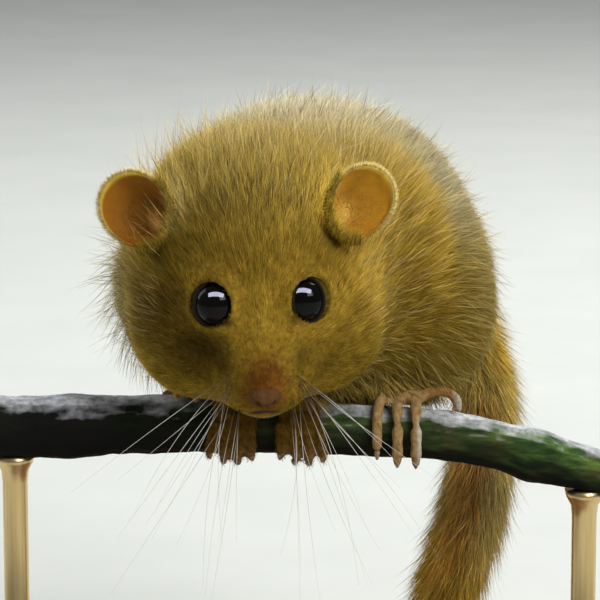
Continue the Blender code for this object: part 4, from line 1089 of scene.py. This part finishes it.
for number, (name, (side, place, looks, half, inner)) in enumerate(EARS.items()):
    middle = HEAD + sided(side, *place)
    rise_way = unit(sided(side, *STANDS))
    face_way = unit(level(sided(side, *looks), rise_way))
    wide_way = np.cross(rise_way, face_way)
    shells, tones, ways = [], [], []
    for layer in (0, 1):
        for ring in range(1, EAR_RINGS + 1):
            share = ring / EAR_RINGS
            for k in range(EAR_SIDES):
                turn = math.tau * k / EAR_SIDES
                high, wide = math.sin(turn), math.cos(turn)
                outward = wide * side
                ridge = 0.45 * math.exp(-(((share * outward + 0.40) / 0.22) ** 2))
                ridge = ridge * ramp(-0.8, 0.4, share * high)
                lump = 1.6 * math.exp(-((share * outward + 0.22) ** 2 + (share * high + 0.52) ** 2) / 0.085)
                rolled = 0.42 * ramp(0.80, 1.0, share) * (0.45 - 0.55 * outward)
                drop = EAR_CUP * (1.0 - share**2.4) - rolled
                if layer:
                    drop += EAR_WALL * (1.0 - 0.55 * share**3)
                else:
                    drop -= (ridge + lump) * ramp(1.0, 0.85, share)
                off = share * half[0] * (1.0 + 0.08 * high) * wide * (1 - 0.10 * ramp(0.85, 1.0, share))
                shells.append(middle + wide_way * off + rise_way * share * half[1] * high - face_way * drop)
                ways.append(unit(wide_way * wide + rise_way * high))
                cup_tone = ear_tone(np.array(inner), share, high, outward, ridge, lump)
                tones.append(np.array(GOLD) if layer else cup_tone)
    back = EAR_RINGS * EAR_SIDES
    rim = back - EAR_SIDES
    ear_faces = []
    for start, hub in ((0, 2 * back), (back, 2 * back + 1)):
        ear_faces += bands(EAR_RINGS, EAR_SIDES, start)
        ear_faces += [(hub, start + (k + 1) % EAR_SIDES, start + k) for k in range(EAR_SIDES)]
        shells.append(np.mean(shells[start:start + EAR_SIDES], axis=0))
        tones.append(tones[start])
    ear_faces += band(rim, rim + back, EAR_SIDES)
    foot = middle - rise_way * 2.4
    inward = unit(HEAD - foot)
    stem = smooth_path([
        foot - face_way * 2.3, foot - face_way * 3.2 + inward * 0.8, foot - face_way * 3.0 + inward * 5.0,
    ], 8)
    stem_points, stem_faces = pipe(stem, np.linspace(1.3, 3.1, 8), 20)
    ear_faces += [tuple(i + len(shells) for i in face) for face in stem_faces]
    ear = closed_piece("ear_leaf_" + name, shells + list(stem_points), ear_faces, ear_skin, "skin")
    store_colour(ear, np.array(tones + [np.array(GOLD)] * len(stem_points)))
    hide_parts("ear_" + name)

    shells, ways = np.array(shells), np.array(ways)
    draw = np.random.default_rng(60 + number)
    at = rim + draw.integers(0, EAR_SIDES, EDGE_HAIRS)
    edge = shells[at] * 0.5 + shells[back + at] * 0.5 + wide_way * draw.normal(0, 0.10, (EDGE_HAIRS, 1))
    edge = edge + rise_way * draw.normal(0, 0.10, (EDGE_HAIRS, 1))
    edge_way = ways[at]
    upward = ramp(-0.75, 0.1, np.sum(edge_way * rise_way, axis=1))[:, None]
    cup = (2 + (EAR_RINGS - 4) * np.sqrt(draw.random(CUP_HAIRS))).astype(int) * EAR_SIDES
    cup = cup + draw.integers(0, EAR_SIDES, CUP_HAIRS)
    behind = (1 + (EAR_RINGS - 2) * np.sqrt(draw.random(BACK_HAIRS))).astype(int) * EAR_SIDES
    behind = behind + draw.integers(0, EAR_SIDES, BACK_HAIRS) + back
    foot_turn = math.atan2(-0.83, -0.55 * side) + np.radians(draw.uniform(-72, 72, FOOT_HAIRS))
    at = rim + np.round(foot_turn / math.tau * EAR_SIDES).astype(int) % EAR_SIDES
    over_foot = shells[at] + ways[at] * draw.uniform(-0.1, 0.9, (FOOT_HAIRS, 1))
    over_foot = over_foot + face_way * draw.uniform(-0.3, 0.3, (FOOT_HAIRS, 1))
    root = np.vstack((edge, shells[cup], shells[behind], over_foot))
    along = unit(np.vstack((
        edge_way + rise_way * 0.3, ways[cup] * 0.3 + rise_way, ways[behind] * 0.5 + rise_way,
        rise_way * 0.9 - ways[at] * 0.15 - wide_way * side * 0.25,
    )))
    outwards = np.vstack((
        edge_way * 0.2 - face_way * 0.5, np.tile(face_way, (CUP_HAIRS, 1)),
        np.tile(-face_way, (BACK_HAIRS, 1)), np.tile(face_way, (FOOT_HAIRS, 1)),
    ))
    size = np.concatenate((
        0.20 + 0.36 * upward[:, 0], np.full(CUP_HAIRS, 0.4), np.full(BACK_HAIRS, 0.9),
        draw.uniform(0.8, 1.7, FOOT_HAIRS),
    ))
    angle = np.concatenate((
        draw.uniform(-14, 14, EDGE_HAIRS), np.full(CUP_HAIRS + BACK_HAIRS, 12.0),
        draw.uniform(-4, 20, FOOT_HAIRS),
    ))
    colour = np.vstack((
        # cream edge hairs, brightened on the upper edge as a painted glow of the back light, gold below
        (np.array(CREAM) * 0.75 + np.array(BRIGHT) * 0.35) * upward + np.array(GOLD) * (1 - upward),
        np.array(tones)[cup] * 1.15 + 0.03, np.tile(GOLD, (BACK_HAIRS, 1)),
        # foot hairs: the fur's colour lifted with bright gold as a painted glow of the back light
        face_colour(over_foot) * 0.45 + np.array(BRIGHT) * 0.40,
    ))
    ear_map = (middle, np.column_stack((wide_way, -face_way, rise_way)))
    tufts("coat_ear_" + name, root, unit(level(outwards, along)), along, size, angle, 0.05,
          np.clip(colour, 0, 1), unwrap_round(root, *ear_map), 300 + number, spread=14.0, sink=0.0)

# The nose and the mouth
# A small bare pad of pebbled pink-brown skin with two comma-shaped nostrils and a cleft down to the lip,
# and the closed mouth below it, a dark line between two thin lips. The nostrils and the cleft are darkened
# with painted shade and the top of the pad is lightened with a painted highlight.

PAD = np.array((0.0, -19.25, 0.05))
PAD_HALF = np.array((1.75, 1.30, 1.20))
PAD_TONE = np.array((0.115, 0.052, 0.016))
# painted shade inside the nostril openings
NOSTRIL_SHADE = np.array((0.006, 0.003, 0.002))
LIP = ((-2.5, -16.4, -3.7), (-1.1, -18.0, -2.6), (0.0, -18.6, -2.2), (1.1, -18.0, -2.6), (2.5, -16.4, -3.7))
LIP_RADIUS = 0.15
LIP_GAP = 0.42
LIP_STEPS = 40

nose_skin = Finish("nose_skin", 0.55, Specular_IOR_Level=0.06)
pebble = nose_skin.node("TexVoronoi", None, Vector=nose_skin.place(), Scale=5200.0).outputs["Distance"]
nose_pits = nose_skin.spread(pebble, 0.1, 0.7, 0.0, 0.4)
nose_skin.colour(nose_skin.mixed(nose_pits, nose_skin.painted(), (0.05, 0.018, 0.010)))
nose_skin.bumps(pebble, 0.4, 0.00005)
spots, pad_faces = globe(56, 80)
pad_points, pad_tones = [], []
for tilt, turn in spots:
    way = (math.sin(tilt) * math.sin(turn), -math.cos(tilt), math.sin(tilt) * math.cos(turn))
    spot = np.array(way) * PAD_HALF
    aside, high = abs(spot[0]), spot[2]
    nostril = math.exp(-(((aside - 0.86 - 0.30 * max(0.0, high)) / 0.26) ** 2 + ((high - 0.10) / 0.26) ** 2))
    nostril *= float(spot[1] < 0.3)
    cleft = math.exp(-((aside / 0.10) ** 2)) * ramp(0.35, -0.25, high) * float(spot[1] < 0.4)
    lobe = 0.10 * math.exp(-(((aside - 0.62) / 0.45) ** 2)) * ramp(-0.4, 0.3, high)
    spot = spot * (1 - 0.42 * nostril - 0.10 * cleft + lobe)
    pad_points.append(from_head(*(PAD + spot)))
    # painted shade down the cleft and a painted highlight over the top of the pad
    tone = PAD_TONE * (1 - 0.55 * cleft) * (1 + 0.25 * ramp(0.0, 0.9, spot[2]))
    pad_tones.append(tone * (1 - nostril) + NOSTRIL_SHADE * nostril)
pad = closed_piece("nose_pad", pad_points, pad_faces, nose_skin, "skin")
store_colour(pad, np.array(pad_tones))

skin_tree = BVHTree.FromPolygons([Vector(place) for place in skin_at], skin_faces.tolist())


def on_hide(place, lift):
    """The nearest point of the hide, raised from it by lift."""
    found, normal, _, _ = skin_tree.find_nearest(Vector(place))
    return np.array(found) + np.array(normal) * lift


def joined(tubes):
    """The points and faces of several closed tubes as one mesh."""
    points, faces = [], []
    for tube_points, tube_faces in tubes:
        faces += [tuple(i + len(points) for i in face) for face in tube_faces]
        points += list(tube_points)
    return points, faces


lip_skin = Finish("lip_skin", 0.55, Specular_IOR_Level=0.2)
lip_skin.colour(lip_skin.shades(
    lip_skin.speckle(2200.0), (0.3, (0.030, 0.012, 0.008)), (0.7, (0.095, 0.040, 0.026)),
))
lips = []
for below in (0.0, LIP_GAP):
    route = smooth_path([on_hide(from_head(x, y, z - below), 0.02) for x, y, z in LIP], LIP_STEPS)
    lips.append(pipe(route, LIP_RADIUS * np.sin(np.linspace(0.12, math.pi - 0.12, LIP_STEPS)), 10))
closed_piece("mouth_lips", *joined(lips), lip_skin, "skin")

# The whiskers
# Long tapering pale bristles in rows on the two whisker pads, swept out and down past the twig, with a
# few shorter ones over the eyes and on the cheeks.

WHISKERS = 15
WHISKER_STEPS = 14
WHISKER_SIDES = 6
WHISKER_DARK = np.array((0.10, 0.06, 0.03))
WHISKER_PALE = np.array((0.72, 0.69, 0.64))

whisker = Finish("whisker_bristle", 0.45, Specular_IOR_Level=0.15)
whisker.colour(whisker.painted())
draw = np.random.default_rng(77)
bristles = []
for side in (1, -1):
    for k in range(WHISKERS):
        t = (k + draw.uniform(0.1, 0.9)) / WHISKERS
        swing = math.radians(3.0 + 60.0 * t**1.4 + draw.normal(0, 2.5))
        spot = (side * (1.9 + 1.6 * t + draw.normal(0, 0.4)), -17.0 + 1.5 * t + draw.normal(0, 0.6),
                -2.2 + 1.6 * t + draw.normal(0, 0.6))
        way = unit((side * math.sin(swing), -0.5 + 0.2 * draw.random(), -math.cos(swing)))
        reach = 12.0 + 10.0 * draw.random() ** 0.8 + 2.0 * t
        bristles.append((on_hide(from_head(*spot), -0.15), way, reach, 0.033 + 0.012 * draw.random()))
    for k in range(3):
        spot = (side * (2.6 + draw.normal(0, 0.4)), -16.6 + draw.normal(0, 0.4), 0.6 + draw.normal(0, 0.6))
        way = unit((side, -0.7, -0.45 + 0.7 * draw.random()))
        bristles.append((on_hide(from_head(*spot), -0.1), way, 4.5 + 3.0 * draw.random(), 0.022))
    for k in range(2):
        spot = (side * (5.2 + 0.9 * k), -10.6 + 0.5 * k, 9.6 - 0.6 * k)
        way = unit((side * (0.30 + 0.3 * k), -0.6, 1.0))
        bristles.append((on_hide(from_head(*spot), -0.1), way, 4.5 + draw.random(), 0.022))
tubes = []
for start, way, reach, thickness in bristles:
    t = np.linspace(0.0, 1.0, WHISKER_STEPS)[:, None]
    bow = np.cross(way, (0.0, 1.0, 0.0)) * draw.normal(0, 0.16)
    route = start + way * reach * t + (np.array((0.0, 0.04, -0.16)) + bow) * reach * t**2
    radii = thickness * (1 - 0.82 * t[:, 0] ** 1.3)
    tubes.append(pipe(route, radii, WHISKER_SIDES, first=(0.1, 1.0, 0.3)))
hair_points, hair_faces = joined(tubes)
hairs = closed_piece("whiskers", hair_points, hair_faces, whisker, "coat")
per = WHISKER_STEPS * WHISKER_SIDES
along_hair = np.arange(len(hair_points)) % per // WHISKER_SIDES / (WHISKER_STEPS - 1)
reaches = np.repeat([reach for _, _, reach, _ in bristles], per)
pale = (ramp(0.10, 0.42, along_hair) * ramp(7.0, 11.0, reaches))[:, None]
store_colour(hairs, WHISKER_DARK * (1 - pale) + WHISKER_PALE * pale)
bake = hairs.data.uv_layers.new(name="OFBake")
places = unwrap_round(np.array([start for start, _, _, _ in bristles]), *ON_HEAD)
corner_at = np.array([loop.vertex_index for loop in hairs.data.loops])
in_patch = (corner_at % WHISKER_SIDES / WHISKER_SIDES, corner_at % per // WHISKER_SIDES / WHISKER_STEPS)
patch = places[corner_at // per] + np.column_stack(in_patch) * PATCH
bake.data.foreach_set("uv", patch.astype(np.float32).ravel())

# The claws
# Small curved horn hooks, one in the end of each finger and toe that shows, pressed into the bark.

FINGER_ENDS = (128, 146, 150, 132)  # degrees round the twig
FINGER_STEP = 1.6675
DIGITS = [  # places along the twig, degrees round it and clear of the bark
    (paw + (k - 1.5) * FINGER_STEP, end, 1.15) for paw in (0.1, -8.1) for k, end in enumerate(FINGER_ENDS)
]
DIGITS += [(9.1, 114, 1.3), (11.5, 132, 1.3), (13.7, 132, 1.3)]

horn = Finish("claw_horn", 0.4, IOR=1.4)
horn.colour(horn.shades(horn.speckle(1800.0, 2.0, 0.5), (0.3, (0.16, 0.10, 0.05)), (0.7, (0.42, 0.32, 0.20))))
hooks = []
for x, end, clear in DIGITS:
    spots = ((x, end - 7, clear + 0.15), (x, end + 7, clear + 0.05), (x, end + 17, clear - 0.75))
    route = smooth_path([round_twig(*spot) for spot in spots], 9)
    hooks.append(pipe(route, np.linspace(0.34, 0.03, 9), 10, first=(1.0, 0.0, 0.0)))
closed_piece("claws", *joined(hooks), horn, "skin")

low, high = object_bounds()
